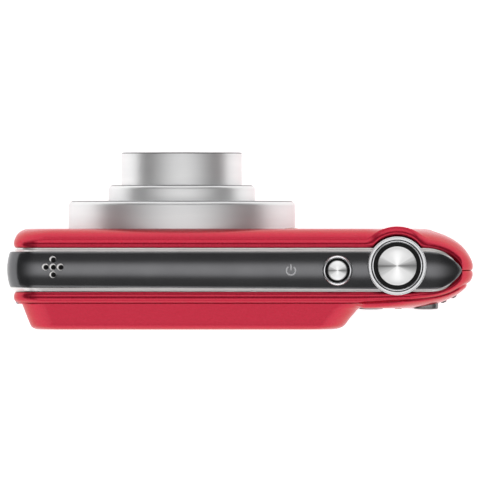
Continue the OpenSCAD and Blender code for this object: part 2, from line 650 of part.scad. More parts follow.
front_shell();
rear_shell();
top_band();
mid_frame();
base_plate();
battery_door();
door_latch();
door_pin();
tripod_bush();
case_screws();
strap_lug();
thumb_grips();
port_cover();
usb_socket();
shutter_bezel();
shutter_button();
shutter_spring();
power_bezel();
power_button();
power_spring();
top_board();
speaker();
microphone();
flash_window();
flash_unit();
flash_capacitor();
af_lamp();
lens_base_ring();
lens_guide_tube();
cam_ring();
zoom_motor();
zoom_pinion();
outer_barrel();
inner_barrel();
lens_bezel();
barrier_blade_upper();
barrier_blade_lower();
front_lens();
middle_lens();
focus_carrier();
focus_lens();
focus_drive();
image_sensor();
sensor_board();
main_board();
key_board();
lcd_module();
lcd_window();
lcd_ribbon();
battery();
battery_tray();
sd_socket();
wide_key();
tele_key();
menu_key();
delete_key();
ok_key();
dpad();
dpad_rubber();
status_led();
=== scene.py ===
import json
import math

import bmesh
import bpy
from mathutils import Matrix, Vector

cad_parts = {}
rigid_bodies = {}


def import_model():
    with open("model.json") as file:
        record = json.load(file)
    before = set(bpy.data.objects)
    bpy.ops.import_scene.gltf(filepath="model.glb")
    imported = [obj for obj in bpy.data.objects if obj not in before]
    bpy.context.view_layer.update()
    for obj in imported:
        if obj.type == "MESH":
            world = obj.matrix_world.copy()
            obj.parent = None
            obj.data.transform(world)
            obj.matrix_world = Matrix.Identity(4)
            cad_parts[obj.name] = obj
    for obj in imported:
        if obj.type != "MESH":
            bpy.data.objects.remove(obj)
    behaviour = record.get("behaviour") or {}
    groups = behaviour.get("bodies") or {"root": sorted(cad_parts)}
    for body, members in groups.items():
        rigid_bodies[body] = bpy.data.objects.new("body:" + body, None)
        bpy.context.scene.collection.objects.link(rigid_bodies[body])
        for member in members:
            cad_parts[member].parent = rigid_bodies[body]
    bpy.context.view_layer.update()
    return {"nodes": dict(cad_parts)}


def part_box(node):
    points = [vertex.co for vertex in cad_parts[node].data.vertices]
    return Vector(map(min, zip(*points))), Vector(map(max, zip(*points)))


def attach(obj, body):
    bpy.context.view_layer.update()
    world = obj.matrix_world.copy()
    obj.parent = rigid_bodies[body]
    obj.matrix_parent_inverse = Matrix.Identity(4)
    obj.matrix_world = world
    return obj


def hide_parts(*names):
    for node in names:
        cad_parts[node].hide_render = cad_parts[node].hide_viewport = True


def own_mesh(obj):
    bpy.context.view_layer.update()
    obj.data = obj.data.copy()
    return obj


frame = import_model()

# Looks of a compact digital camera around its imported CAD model.
# Lengths are in millimetres until a mesh is made. Frame: +Z up, the lens looks along -Y.

MM = 0.001
nodes = frame["nodes"]


def box_mm(node):
    low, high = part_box(node)
    return low / MM, high / MM


def centre_mm(node):
    low, high = box_mm(node)
    return (low + high) / 2


def clamp(v, low=0.0, high=1.0):
    return max(low, min(high, v))


def mix(a, b, t):
    return a + (b - a) * t


def smooth(t):
    t = clamp(t)
    return t * t * (3 - 2 * t)


def through(points, x):
    """Smooth curve through (x, y) points that run to rising x, level beyond both ends."""
    if x <= points[0][0]:
        return points[0][1]
    if x >= points[-1][0]:
        return points[-1][1]
    last = len(points) - 1
    slope = []
    for i in range(last + 1):
        a, b = points[max(0, i - 1)], points[min(last, i + 1)]
        slope.append((b[1] - a[1]) / (b[0] - a[0]))
    i = max(k for k in range(last) if points[k][0] <= x)
    (x0, y0), (x1, y1) = points[i], points[i + 1]
    h = x1 - x0
    t = (x - x0) / h
    return ((2 * t ** 3 - 3 * t ** 2 + 1) * y0 + (t ** 3 - 2 * t ** 2 + t) * h * slope[i]
            + (3 * t ** 2 - 2 * t ** 3) * y1 + (t ** 3 - t ** 2) * h * slope[i + 1])


# ---------------------------------------------------------------- materials


def shader(name, colour, metallic=0.0, roughness=0.4, **sockets):
    """A new material with a Principled shader; returns it, its node tree and the shader node."""
    m = bpy.data.materials.new(name)
    m.use_nodes = True
    tree = m.node_tree
    s = tree.nodes["Principled BSDF"]
    s.inputs["Base Color"].default_value = (*colour, 1)
    s.inputs["Metallic"].default_value = metallic
    s.inputs["Roughness"].default_value = roughness
    for key, value in sockets.items():
        s.inputs[key.replace("_", " ")].default_value = value
    return m, tree, s


def add(tree, kind, **values):
    n = tree.nodes.new(kind)
    for key, value in values.items():
        if key in n.inputs:
            n.inputs[key].default_value = value
        else:
            setattr(n, key, value)
    return n


def mapped(tree, scale=(1, 1, 1)):
    """Object coordinates in millimetres, stretched by scale."""
    coordinates = add(tree, "ShaderNodeTexCoord")
    mapping = add(tree, "ShaderNodeMapping", Scale=tuple(s / MM for s in scale))
    tree.links.new(coordinates.outputs["Object"], mapping.inputs["Vector"])
    return mapping.outputs["Vector"]


def noise(tree, vector, scale, detail=3.0, roughness=0.55):
    n = add(tree, "ShaderNodeTexNoise", Scale=scale, Detail=detail, Roughness=roughness)
    tree.links.new(vector, n.inputs["Vector"])
    return n.outputs["Fac"]


def ramp(tree, factor, stops):
    r = add(tree, "ShaderNodeValToRGB")
    cr = r.color_ramp
    cr.elements[0].position, cr.elements[1].position = stops[0][0], stops[-1][0]
    cr.elements[0].color, cr.elements[1].color = (*stops[0][1], 1), (*stops[-1][1], 1)
    for position, colour in stops[1:-1]:
        cr.elements.new(position).color = (*colour, 1)
    tree.links.new(factor, r.inputs["Fac"])
    return r.outputs["Color"]


def level(tree, factor, low, high):
    """factor, 0 to 1, mapped to low..high."""
    r = add(tree, "ShaderNodeMapRange")
    r.inputs["To Min"].default_value = low
    r.inputs["To Max"].default_value = high
    tree.links.new(factor, r.inputs["Value"])
    return r.outputs["Result"]


def maths(tree, operation, *values, kind="ShaderNodeMath"):
    """Output of a maths node; each value is a number, a vector or another node's output."""
    n = add(tree, kind, operation=operation)
    for socket, value in zip(n.inputs, values):
        if isinstance(value, bpy.types.NodeSocket):
            tree.links.new(value, socket)
        else:
            socket.default_value = value
    return n.outputs["Value" if operation == "LENGTH" else 0]


def vector_maths(tree, operation, *values):
    return maths(tree, operation, *values, kind="ShaderNodeVectorMath")


def bump(tree, s, height, strength, distance_mm):
    b = add(tree, "ShaderNodeBump", Strength=strength, Distance=distance_mm * MM)
    tree.links.new(height, b.inputs["Height"])
    tree.links.new(b.outputs["Normal"], s.inputs["Normal"])


def worked(name, light, dark, metallic, roughness, grain=2.0, depth=0.004, stretch=(1, 1, 1), **sockets):
    """A material whose colour, roughness and relief vary with a fine grain."""
    m, tree, s = shader(name, light, metallic, mix(*roughness, 0.5), **sockets)
    vector = mapped(tree, stretch)
    broad = noise(tree, vector, 0.12, 2.0)
    fine = noise(tree, vector, grain, 4.0)
    tree.links.new(ramp(tree, broad, [(0.3, dark), (0.7, light)]), s.inputs["Base Color"])
    tree.links.new(level(tree, fine, *roughness), s.inputs["Roughness"])
    bump(tree, s, fine, 0.5, depth)
    return m


def make_red_paint():
    m, tree, s = shader("red_lacquer", (0.5, 0.01, 0.03), 0.86, 0.3,
                        Coat_Weight=0.6, Coat_Roughness=0.08, Coat_IOR=1.45,
                        Specular_Tint=(0.75, 0.24, 0.27, 1))
    flakes = add(tree, "ShaderNodeTexVoronoi", Scale=9.0)
    tree.links.new(mapped(tree), flakes.inputs["Vector"])
    split = add(tree, "ShaderNodeSeparateColor")
    tree.links.new(flakes.outputs["Color"], split.inputs["Color"])
    tone = ramp(tree, split.outputs["Red"], [(0.0, (0.5, 0.006, 0.032)), (0.75, (0.54, 0.009, 0.04)),
                                             (1.0, (0.6, 0.016, 0.054))])
    tree.links.new(tone, s.inputs["Base Color"])
    tree.links.new(level(tree, split.outputs["Green"], 0.27, 0.33), s.inputs["Roughness"])
    peel = noise(tree, mapped(tree), 0.9, 1.0)
    bump(tree, s, peel, 0.04, 0.006)
    return m


def make_spun_painted_sheen(name, colour, centre, roughness):
    """Turned metal: fine grooves run round the centre as bump and a radial tangent; the base colour is a
    painted sheen, light towards +-Y and dark towards +-X of the centre, with painted streaks.
    """
    m, tree, s = shader(name, colour, 1.0, roughness, Anisotropic=0.9)
    coordinates = add(tree, "ShaderNodeTexCoord").outputs["Object"]
    shift = vector_maths(tree, "SUBTRACT", coordinates, (centre[0] * MM, centre[1] * MM, 0))
    flat = vector_maths(tree, "MULTIPLY", shift, (1 / MM, 1 / MM, 0))
    across = add(tree, "ShaderNodeCombineXYZ")
    tree.links.new(vector_maths(tree, "LENGTH", flat), across.inputs["X"])
    grooves = noise(tree, across.outputs[0], 14.0, 3.0)
    unit = vector_maths(tree, "NORMALIZE", flat)
    turn = add(tree, "ShaderNodeSeparateXYZ")
    tree.links.new(unit, turn.inputs[0])
    # painted sheen: the tone follows the direction from the centre, lightest along Y, with painted streaks
    # from noise
    painted_streaks = noise(tree, unit, 3.2, 2.0)
    painted_sheen_sectors = maths(tree, "MULTIPLY_ADD", painted_streaks, 0.45, maths(tree, "ABSOLUTE", turn.outputs["Y"]))
    painted_sheen_tones = [(at, tuple(share * c for c in colour)) for at, share in ((0.2, 0.22), (0.5, 0.6), (0.8, 1))]
    tree.links.new(ramp(tree, painted_sheen_sectors, painted_sheen_tones), s.inputs["Base Color"])
    bump(tree, s, grooves, 0.35, 0.004)
    around = add(tree, "ShaderNodeTangent", direction_type="RADIAL", axis="Z")
    tree.links.new(around.outputs["Tangent"], s.inputs["Tangent"])
    return m


def make_glass(name, tint, coating):
    m, tree, s = shader(name, tint, 0.0, 0.03, Transmission_Weight=1.0, IOR=1.52, Coat_Weight=0.6,
                        Coat_Roughness=0.02, Coat_Tint=(*coating, 1))
    dust = noise(tree, mapped(tree), 1.4, 5.0)
    tree.links.new(level(tree, dust, 0.01, 0.06), s.inputs["Roughness"])
    return m


def make_board():
    m, tree, s = shader("solder_mask", (0.01, 0.09, 0.03), 0.0, 0.35, Coat_Weight=0.4)
    tracks = add(tree, "ShaderNodeTexBrick", Scale=0.6)
    tracks.inputs["Color1"].default_value = (0.008, 0.1, 0.035, 1)
    tracks.inputs["Color2"].default_value = (0.012, 0.075, 0.03, 1)
    tracks.inputs["Mortar"].default_value = (0.03, 0.2, 0.07, 1)
    tracks.inputs["Mortar Size"].default_value = 0.04
    tree.links.new(mapped(tree), tracks.inputs["Vector"])
    tree.links.new(tracks.outputs["Color"], s.inputs["Base Color"])
    bump(tree, s, tracks.outputs["Fac"], 0.3, 0.03)
    return m


def make_screen():
    m, tree, s = shader("screen_black", (0.004, 0.004, 0.005), 0.0, 0.08, Coat_Weight=1.0,
                        Coat_Roughness=0.02, Specular_IOR_Level=0.6)
    smudge = noise(tree, mapped(tree), 0.15, 4.0)
    tree.links.new(level(tree, smudge, 0.05, 0.16), s.inputs["Roughness"])
    tree.links.new(ramp(tree, smudge, [(0.3, (0.003, 0.003, 0.004)), (0.7, (0.008, 0.008, 0.01))]),
                   s.inputs["Base Color"])
    return m


def make_wrap():
    m, tree, s = shader("battery_wrap", (0.035, 0.035, 0.04), 0.0, 0.45)
    band = add(tree, "ShaderNodeTexWave", Scale=0.02, Distortion=0.0)
    band.wave_type, band.bands_direction = "BANDS", "Z"
    tree.links.new(mapped(tree), band.inputs["Vector"])
    tree.links.new(ramp(tree, band.outputs["Fac"], [(0.45, (0.03, 0.03, 0.035)), (0.55, (0.1, 0.1, 0.11))]),
                   s.inputs["Base Color"])
    bump(tree, s, noise(tree, mapped(tree), 1.5), 0.3, 0.01)
    return m


RED = make_red_paint()
BAND = worked("band_satin", (0.135, 0.135, 0.14), (0.115, 0.115, 0.12), 0.95, (0.15, 0.22), 5.0, 0.001)
SILVER = worked("frame_satin", (0.82, 0.8, 0.79), (0.74, 0.72, 0.71), 0.85, (0.28, 0.4), 4.0, 0.003)
LENS = worked("lens_satin", (0.8, 0.8, 0.8), (0.74, 0.74, 0.745), 1.0, (0.38, 0.46), 6.0, 0.0025,
              (0.25, 2.5, 0.25))
LENS_DARK = worked("lens_rim", (0.03, 0.03, 0.033), (0.02, 0.02, 0.023), 0.6, (0.3, 0.45), 5.0, 0.003)
BASE = worked("base_satin", (0.05, 0.05, 0.054), (0.038, 0.038, 0.042), 0.3, (0.38, 0.52), 5.0, 0.006)
STEEL = worked("screw_steel", (0.62, 0.62, 0.64), (0.5, 0.5, 0.52), 1.0, (0.22, 0.36), 4.0, 0.004)
BRASS = worked("brass", (0.72, 0.53, 0.22), (0.6, 0.43, 0.17), 1.0, (0.22, 0.38), 3.0, 0.004)
RUBBER = worked("rubber", (0.022, 0.022, 0.024), (0.015, 0.015, 0.017), 0.0, (0.6, 0.8), 3.0, 0.02)
RING = worked("bezel_satin", (0.6, 0.6, 0.61), (0.55, 0.55, 0.56), 1.0, (0.2, 0.3), 4.0, 0.001)
CHROME = worked("bezel_chrome", (0.78, 0.78, 0.8), (0.7, 0.7, 0.72), 1.0, (0.12, 0.2), 3.0, 0.001)
BLACK = worked("black_plastic", (0.018, 0.018, 0.02), (0.012, 0.012, 0.014), 0.0, (0.42, 0.6), 3.0, 0.01)
# near-black painted shade: cutters carry it, so the walls and chamfers they leave in holes, gaps and dimples
# come out near-black, as do the dishes under the buttons
PAINTED_SHADE_BLACK = worked("painted_shade_black", (0.006, 0.006, 0.007), (0.004, 0.004, 0.005), 0.0, (0.5, 0.7), 3.0, 0.01)
KEY = worked("key_satin", (0.2, 0.19, 0.19), (0.17, 0.16, 0.16), 0.9, (0.22, 0.34), 5.0, 0.003)
SPRING = worked("spring_wire", (0.55, 0.55, 0.57), (0.45, 0.45, 0.47), 1.0, (0.25, 0.4), 3.0, 0.004)
CAM = worked("cam_plastic", (0.1, 0.1, 0.105), (0.075, 0.075, 0.08), 0.2, (0.35, 0.5), 2.5, 0.006)
MOTOR = worked("motor_can", (0.55, 0.55, 0.56), (0.45, 0.45, 0.46), 1.0, (0.25, 0.4), 3.0, 0.004,
               (0.3, 0.3, 3))
REFLECTOR = worked("flash_reflector", (0.85, 0.85, 0.86), (0.78, 0.78, 0.8), 1.0, (0.08, 0.18), 1.0, 0.004)
SLEEVE = worked("capacitor_sleeve", (0.02, 0.03, 0.09), (0.014, 0.02, 0.07), 0.0, (0.3, 0.45), 1.5, 0.006)
RIBBON = worked("ribbon_film", (0.5, 0.2, 0.03), (0.42, 0.15, 0.02), 0.1, (0.25, 0.4), 1.5, 0.004,
                (4, 0.4, 0.4))
SENSOR = worked("sensor_glass", (0.03, 0.05, 0.09), (0.02, 0.03, 0.07), 0.2, (0.06, 0.15), 2.0, 0.001)
MODULE = worked("screen_module", (0.6, 0.6, 0.6), (0.5, 0.5, 0.5), 0.7, (0.3, 0.45), 1.0, 0.005)
DIFFUSER = worked("flash_diffuser", (0.85, 0.87, 0.86), (0.78, 0.8, 0.8), 0.0, (0.12, 0.3), 1.0, 0.01,
                  Transmission_Weight=0.45, IOR=1.49)
AMBER = worked("amber_plastic", (0.8, 0.2, 0.015), (0.65, 0.14, 0.01), 0.0, (0.1, 0.25), 1.0, 0.008,
               Transmission_Weight=0.5, IOR=1.49)
PRINT = worked("light_print", (0.7, 0.7, 0.72), (0.64, 0.64, 0.66), 0.1, (0.4, 0.55), 5.0, 0.002)
# both buttons' base colours carry painted sheen sectors
SPUN_PAINTED_SHEEN = make_spun_painted_sheen("spun_button_painted_sheen", (0.8, 0.8, 0.8), centre_mm("shutter_button"), 0.28)
SPUN_SMALL_PAINTED_SHEEN = make_spun_painted_sheen("spun_power_painted_sheen", (0.8, 0.8, 0.8), centre_mm("power_button"), 0.28)
GLASS = make_glass("lens_glass", (0.9, 0.93, 0.96), (0.75, 0.8, 1.0))
SCREEN = make_screen()
BOARD = make_board()
WRAP = make_wrap()

# ---------------------------------------------------------------- mesh helpers


def raw_object(name, verts, faces, material, face_materials=None):
    mesh = bpy.data.meshes.new(name)
    mesh.from_pydata([tuple(c * MM for c in v) for v in verts], [], faces)
    for m in (material if isinstance(material, (list, tuple)) else [material]):
        mesh.materials.append(m)
    if face_materials:
        mesh.polygons.foreach_set("material_index", face_materials)
    work = bmesh.new()
    work.from_mesh(mesh)
    bmesh.ops.remove_doubles(work, verts=work.verts, dist=1e-7)
    loose = [e for e in work.edges if not e.link_faces]
    bmesh.ops.delete(work, geom=loose, context="EDGES")
    bmesh.ops.recalc_face_normals(work, faces=work.faces)
    work.to_mesh(mesh)
    work.free()
    o = bpy.data.objects.new(name, mesh)
    bpy.context.scene.collection.objects.link(o)
    return o


def place(o, body, stands_for=(), angle=32.0):
    """Shades the piece, makes it ride on its body and hides the CAD nodes it stands for."""
    o.data.polygons.foreach_set("use_smooth", [True] * len(o.data.polygons))
    o.data.set_sharp_from_angle(angle=math.radians(angle))
    normals = o.modifiers.new("weighted", "WEIGHTED_NORMAL")
    normals.keep_sharp = True
    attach(o, body)
    if stands_for:
        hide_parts(*stands_for)
    return o


def boolean(o, others, operation="DIFFERENCE", own_overlaps=False):
    for other in others:
        mod = o.modifiers.new("cut", "BOOLEAN")
        mod.operation, mod.object, mod.solver = operation, other, "EXACT"
        mod.use_self = own_overlaps
        # cut faces take the cutter's material, mostly the near-black painted shade
        mod.material_mode = "TRANSFER"
        bpy.context.view_layer.update()
        dg = bpy.context.evaluated_depsgraph_get()
        made = bpy.data.meshes.new_from_object(o.evaluated_get(dg), preserve_all_data_layers=True,
                                               depsgraph=dg)
        o.modifiers.clear()
        o.data = made
        bpy.data.objects.remove(other)
    return o


def joined(name, objects):
    """One object from several; materials are kept."""
    bpy.context.view_layer.update()
    for o in bpy.context.view_layer.objects.selected:
        o.select_set(False)
    for o in objects:
        o.select_set(True)
    bpy.context.view_layer.objects.active = objects[0]
    bpy.ops.object.join()
    o = bpy.context.view_layer.objects.active
    o.name = name
    o.select_set(False)
    return o


def skin(loops, closed_ring=False):
    """Vertices and faces over a list of equal loops; the ends are capped unless they join in a ring."""
    n = len(loops[0])
    verts = [p for loop in loops for p in loop]
    faces = []
    count = len(loops)
    for i in range(count if closed_ring else count - 1):
        a, b = i * n, (i + 1) % count * n
        faces += [(a + j, a + (j + 1) % n, b + (j + 1) % n, b + j) for j in range(n)]
    if not closed_ring:
        faces += [tuple(range(n - 1, -1, -1)), tuple((count - 1) * n + j for j in range(n))]
    return verts, faces


def filleted(corners, steps=5):
    """Closed outline through (a, b, radius) corners, each rounded by an arc."""
    out, n = [], len(corners)
    for i, (a, b, radius) in enumerate(corners):
        here = Vector((a, b))
        back = Vector(corners[i - 1][:2]) - here
        on = Vector(corners[(i + 1) % n][:2]) - here
        half = back.angle(on) / 2
        if radius <= 0 or half > math.radians(88):
            out.append((a, b))
            continue
        cut = min(radius / math.tan(half), 0.49 * min(back.length, on.length))
        real = cut * math.tan(half)
        middle = here + (back.normalized() + on.normalized()).normalized() * (real / math.sin(half))
        start, end = here + back.normalized() * cut - middle, here + on.normalized() * cut - middle
        turn = start.angle_signed(end)
        for k in range(steps + 1):
            angle = -turn * k / steps
            c, s = math.cos(angle), math.sin(angle)
            out.append((middle.x + start.x * c - start.y * s, middle.y + start.x * s + start.y * c))
    return out


def lathe(name, profile, centre, axis, material, sides=96, bands=None):
    """Solid of revolution of a closed (radius, distance) profile about a line through centre.

    axis "front" measures the distance along -Y from the parting plane, "up" along +Z from the base
    and "side" along +X. bands gives faces within (r0, r1, t0, t1) limits of radius and distance a
    material index."""
    loops = []
    for k in range(sides):
        a = 2 * math.pi * k / sides
        c, s = math.cos(a), math.sin(a)
        if axis == "front":
            loops.append([(centre[0] + r * c, -t, centre[1] + r * s) for r, t in profile])
        elif axis == "side":
            loops.append([(t, centre[0] + r * c, centre[1] + r * s) for r, t in profile])
        else:
            loops.append([(centre[0] + r * c, centre[1] + r * s, t) for r, t in profile])
    verts, faces = skin(loops, closed_ring=True)
    picks = None
    if bands:
        n = len(profile)
        picks = []
        for f in faces:
            j = [i % n for i in f]
            mid_t = sum(profile[i][1] for i in j) / 4
            mid_r = sum(profile[i][0] for i in j) / 4
            pick = 0
            for (r0, r1, t0, t1), index in bands:
                if r0 <= mid_r <= r1 and t0 <= mid_t <= t1:
                    pick = index
            picks.append(pick)
    return raw_object(name, verts, faces, material, picks)


def rounded_loop(x0, x1, z0, z1, r, steps=8):
    """Rounded rectangle, anticlockwise as (x, z); r is one radius or [+X top, -X top, -X low, +X low]."""
    radii = r if isinstance(r, (list, tuple)) else [r] * 4
    out = []
    centres = [(x1 - radii[0], z1 - radii[0], 0), (x0 + radii[1], z1 - radii[1], 90),
               (x0 + radii[2], z0 + radii[2], 180), (x1 - radii[3], z0 + radii[3], 270)]
    for (cx, cz, start), radius in zip(centres, radii):
        for k in range(steps + 1):
            a = math.radians(start + 90 * k / steps)
            out.append((cx + radius * math.cos(a), cz + radius * math.sin(a)))
    return out


def grown_loop(x, z, r, y, grow=0.0):
    """Rounded rectangle over the spans x and z at distance y, grown on every side."""
    outline = rounded_loop(x[0] - grow, x[1] + grow, z[0] - grow, z[1] + grow, max(r + grow, 0.05))
    return [(a, y, b) for a, b in outline]


def rounded_cutter(x, z, r, rows):
    """Cutter along Y over (y, grow) rows of a rounded rectangle."""
    return raw_object("cutter", *skin([grown_loop(x, z, r, y, grow) for y, grow in rows]), PAINTED_SHADE_BLACK)


def bore_down(centre, radius, depth, above, sides):
    """Upright round cutter from a depth under the band's crest to above it."""
    low, high = BAND_TOP - depth, BAND_TOP + above
    profile = [(0, low), (radius, low), (radius, high), (0, high)]
    return lathe("cutter", profile, centre, "up", PAINTED_SHADE_BLACK, sides)


def slab(x, z, r, y, soften=(0.0, 0.0), steps=4, crown=0.0):
    """Rounded plate facing +Y from y[0] to y[1], its edges softened at the back and at the front.

    crown lifts the middle of the front face."""
    loops = []

    def ring(inset, at):
        return grown_loop(x, z, r, at, -inset)

    back, front = soften
    for k in range(steps + 1 if back else 1):
        a = math.pi / 2 * k / steps
        loops.append(ring(back * (1 - math.sin(a)), y[0] + back * (1 - math.cos(a))))
    for k in range(steps + 1 if front else 1):
        a = math.pi / 2 * k / steps
        loops.append(ring(front * (1 - math.cos(a)), y[1] - crown - front * (1 - math.sin(a))))
    if crown:
        reach = min(x[1] - x[0], z[1] - z[0]) / 2
        for k in range(1, 5):
            t = k / 5
            loops.append(ring(front + (reach - front) * t * 0.95, y[1] - crown * (1 - t) ** 2))
    return skin(loops)


def cylinder_cutter(centre, radius, y0, y1, chamfer=0.0, outer_y=None, sides=64):
    """Bore along Y; at outer_y it opens with a chamfer."""
    wide = radius + chamfer
    if not chamfer:
        points = [(0, y0), (radius, y0), (radius, y1), (0, y1)]
    elif outer_y > (y0 + y1) / 2:
        points = [(0, y0), (radius, y0), (radius, outer_y - chamfer), (wide, outer_y), (wide, y1), (0, y1)]
    else:
        points = [(0, y0), (wide, y0), (wide, outer_y), (radius, outer_y + chamfer), (radius, y1), (0, y1)]
    return lathe("cutter", [(r, -y) for r, y in points], centre, "front", PAINTED_SHADE_BLACK, sides)


# ---------------------------------------------------------------- shells

SHELL_X0 = box_mm("front_shell")[0].x
SHELL_X1 = box_mm("front_shell")[1].x
SHELL_Z0 = box_mm("front_shell")[0].z
SHELL_Z1 = box_mm("top_band")[1].z - 0.6
BAND_TOP = box_mm("top_band")[1].z
BAND_X1 = box_mm("top_band")[1].x
FRONT_DEPTH = -box_mm("flash_window")[0].y
REAR_DEPTH = 7.8
CORNER = [6.5, 9.5, 4.0, 5.0]
WALL = 1.25
FIT_GAP = 0.12
SEAT_R = 17.4
LAMP_HOLE_R = 1.78
MIC_HOLES = [(33.5, 50.2), (35.1, 50.2)]
BASE_HALF = 5.6
TONGUE_TIP = -45.8
LENS_AXIS = (centre_mm("lens_base_ring").x, centre_mm("lens_base_ring").z)
SHUTTER = (centre_mm("shutter_bezel").x, centre_mm("shutter_bezel").y)
POWER = (centre_mm("power_bezel").x, centre_mm("power_bezel").y)
SHUTTER_GAP_R = 6.15
SHUTTER_BEAD_R = 8.12


class Shell:
    """Outer form of one shell: distances y are measured from the parting plane outwards.

    side is the sign of its Y and depth its full distance. end_, top_, base_ and side_depth are how
    far the outline closes in there at full depth; side_start is where the +X side starts to.
    The cut edge beside the frame lies at edge_top and runs out in the tongue from tongue_x on.
    The crease between bead and slope follows crease_points over the top, then crease_end and
    crease_base. crease_fall and groove sink it; step_share is how soon the slope rises again."""

    start = 4.6

    def __init__(self, **values):
        self.__dict__.update(values)

    def curved(self, y, start, depth, inset):
        if y <= start:
            return 0.0
        t = min(1.0, (y - start) / (self.depth - inset - start))
        return depth * (1 - math.sqrt(1 - t * t))

    def ends(self, y, inset=0.0):
        """Left, right, lowest and highest extent of the outline at distance y, inset inside the surface."""
        return (SHELL_X0 + inset + self.curved(y, 0, self.end_depth, inset),
                SHELL_X1 - inset - self.curved(y, self.side_start, self.side_depth, inset),
                SHELL_Z0 + inset + self.curved(y, self.start, self.base_depth, inset),
                SHELL_Z1 - inset - self.curved(y, self.start, self.top_depth, inset))

    def point(self, station, y, inset=0.0):
        """(x, z) of a station of the outline at distance y."""
        kind, value = station
        x0, x1, z0, z1 = self.ends(y, inset)
        corner = [c - inset for c in CORNER]
        if kind == "top":
            reach = 17.5
            from_left, from_right = value - SHELL_X0, SHELL_X1 - value
            x = value
            if from_left < reach:
                x += (x0 - SHELL_X0) * (1 - from_left / reach)
            if from_right < reach:
                x -= (SHELL_X1 - x1) * (1 - from_right / reach)
            z = z1
            r, cx = corner[1], x0 + corner[1]
            if x < cx:
                z = z1 - r + math.sqrt(max(0.0, r * r - (cx - x) ** 2))
            r, cx = corner[0], x1 - corner[0]
            if x > cx:
                z = z1 - r + math.sqrt(max(0.0, r * r - (x - cx) ** 2))
            return x, z
        if kind == "end":
            return x0, mix(z1 - corner[1], z0 + corner[2], value)
        if kind == "low_end":
            a, r = math.radians(180 + 90 * value), corner[2]
            return x0 + r + r * math.cos(a), z0 + r + r * math.sin(a)
        if kind == "base":
            return mix(x0 + corner[2], x1 - corner[3], value), z0
        if kind == "low_side":
            a, r = math.radians(270 + 90 * value), corner[3]
            return x1 - r + r * math.cos(a), z0 + r + r * math.sin(a)
        return x1, mix(z0 + corner[3], z1 - corner[0], value)

    def edge_at(self, x):
        s = (self.tongue_x - x) / (self.tongue_x - TONGUE_TIP)
        if s <= 0:
            return self.edge_top
        if s >= 1:
            return 0.0
        return self.edge_top * (1 - s * s) ** self.edge_power

    def crease_at(self, x):
        return through(self.crease_points, x)

    def solve(self, station, curve):
        low, high = 0.0, self.depth
        for _ in range(36):
            middle = (low + high) / 2
            if middle < curve(self.point(station, middle)[0]):
                low = middle
            else:
                high = middle
        return (low + high) / 2

    def limits(self, station):
        """Distances of the cut edge and of the crease at a station."""
        kind, value = station
        top_crease = self.crease_points[-1][1]
        if kind == "top":
            return self.solve(station, self.edge_at), self.solve(station, self.crease_at)
        if kind == "end":
            top_value = self.solve(("top", SHELL_X0), self.crease_at)
            return 0.0, mix(top_value, self.crease_end, smooth(value * 3))
        if kind == "low_end":
            return 0.0, mix(self.crease_end, self.crease_base, smooth(value))
        if kind == "base":
            near_side = smooth((value - 0.985) / 0.015)
            return mix(0.0, self.edge_top, near_side), self.crease_base
        if kind == "low_side":
            return self.edge_top, mix(self.crease_base, top_crease, smooth(value))
        return self.edge_top, top_crease

    def stations(self):
        out = []
        right = SHELL_X1 - CORNER[0]
        out += [("top", right + CORNER[0] * math.cos(math.radians(90 * k / 18))) for k in range(18)]
        x = right
        while x > -22.5:
            out.append(("top", x))
            x -= 1.2
        while x > SHELL_X0 + CORNER[1]:
            out.append(("top", x))
            x -= 0.35
        left = SHELL_X0 + CORNER[1]
        tip = math.degrees(math.asin((left - TONGUE_TIP) / CORNER[1]))
        angles = [tip * math.sin(math.pi / 2 * k / 26) for k in range(26)]
        angles += [mix(tip, 90, (k / 16) ** 1.5) for k in range(17)]
        out += [("top", left - CORNER[1] * math.sin(math.radians(a))) for a in angles]
        out += [("end", k / 26) for k in range(1, 27)]
        out += [("low_end", k / 10) for k in range(1, 11)]
        out += [("base", k / 66) for k in range(1, 66)] + [("base", 0.99), ("base", 0.995), ("base", 1.0)]
        out += [("low_side", k / 10) for k in range(1, 11)]
        out += [("side", k / 30) for k in range(1, 30)]
        return out


BEAD_COUNT = 15
BEAD_FALL = 0.3


def bead_rows():
    return [0.5 - 0.5 * math.cos(math.pi * k / (BEAD_COUNT - 1)) for k in range(BEAD_COUNT)]


SLOPE_ROWS = [0.012, 0.03, 0.055, 0.09, 0.14, 0.2, 0.27, 0.35, 0.43, 0.52, 0.61, 0.7, 0.79, 0.87, 0.94, 1.0]


def round_shutter(x, radius):
    """Distance in front of the parting plane of a circle about the shutter button, at x."""
    dx = x - SHUTTER[0]
    if abs(dx) >= radius:
        return -99.0
    return -SHUTTER[1] + math.sqrt(radius * radius - dx * dx)


def rolled(distance, radius):
    """Drop of a rounded edge of this radius at a distance from it."""
    return radius * (1 - math.sqrt(1 - (1 - distance / radius) ** 2)) if distance < radius else 0.0


def soft_max(a, b, k):
    h = clamp(0.5 + 0.5 * (a - b) / k)
    return mix(b, a, h) + k * h * (1 - h)


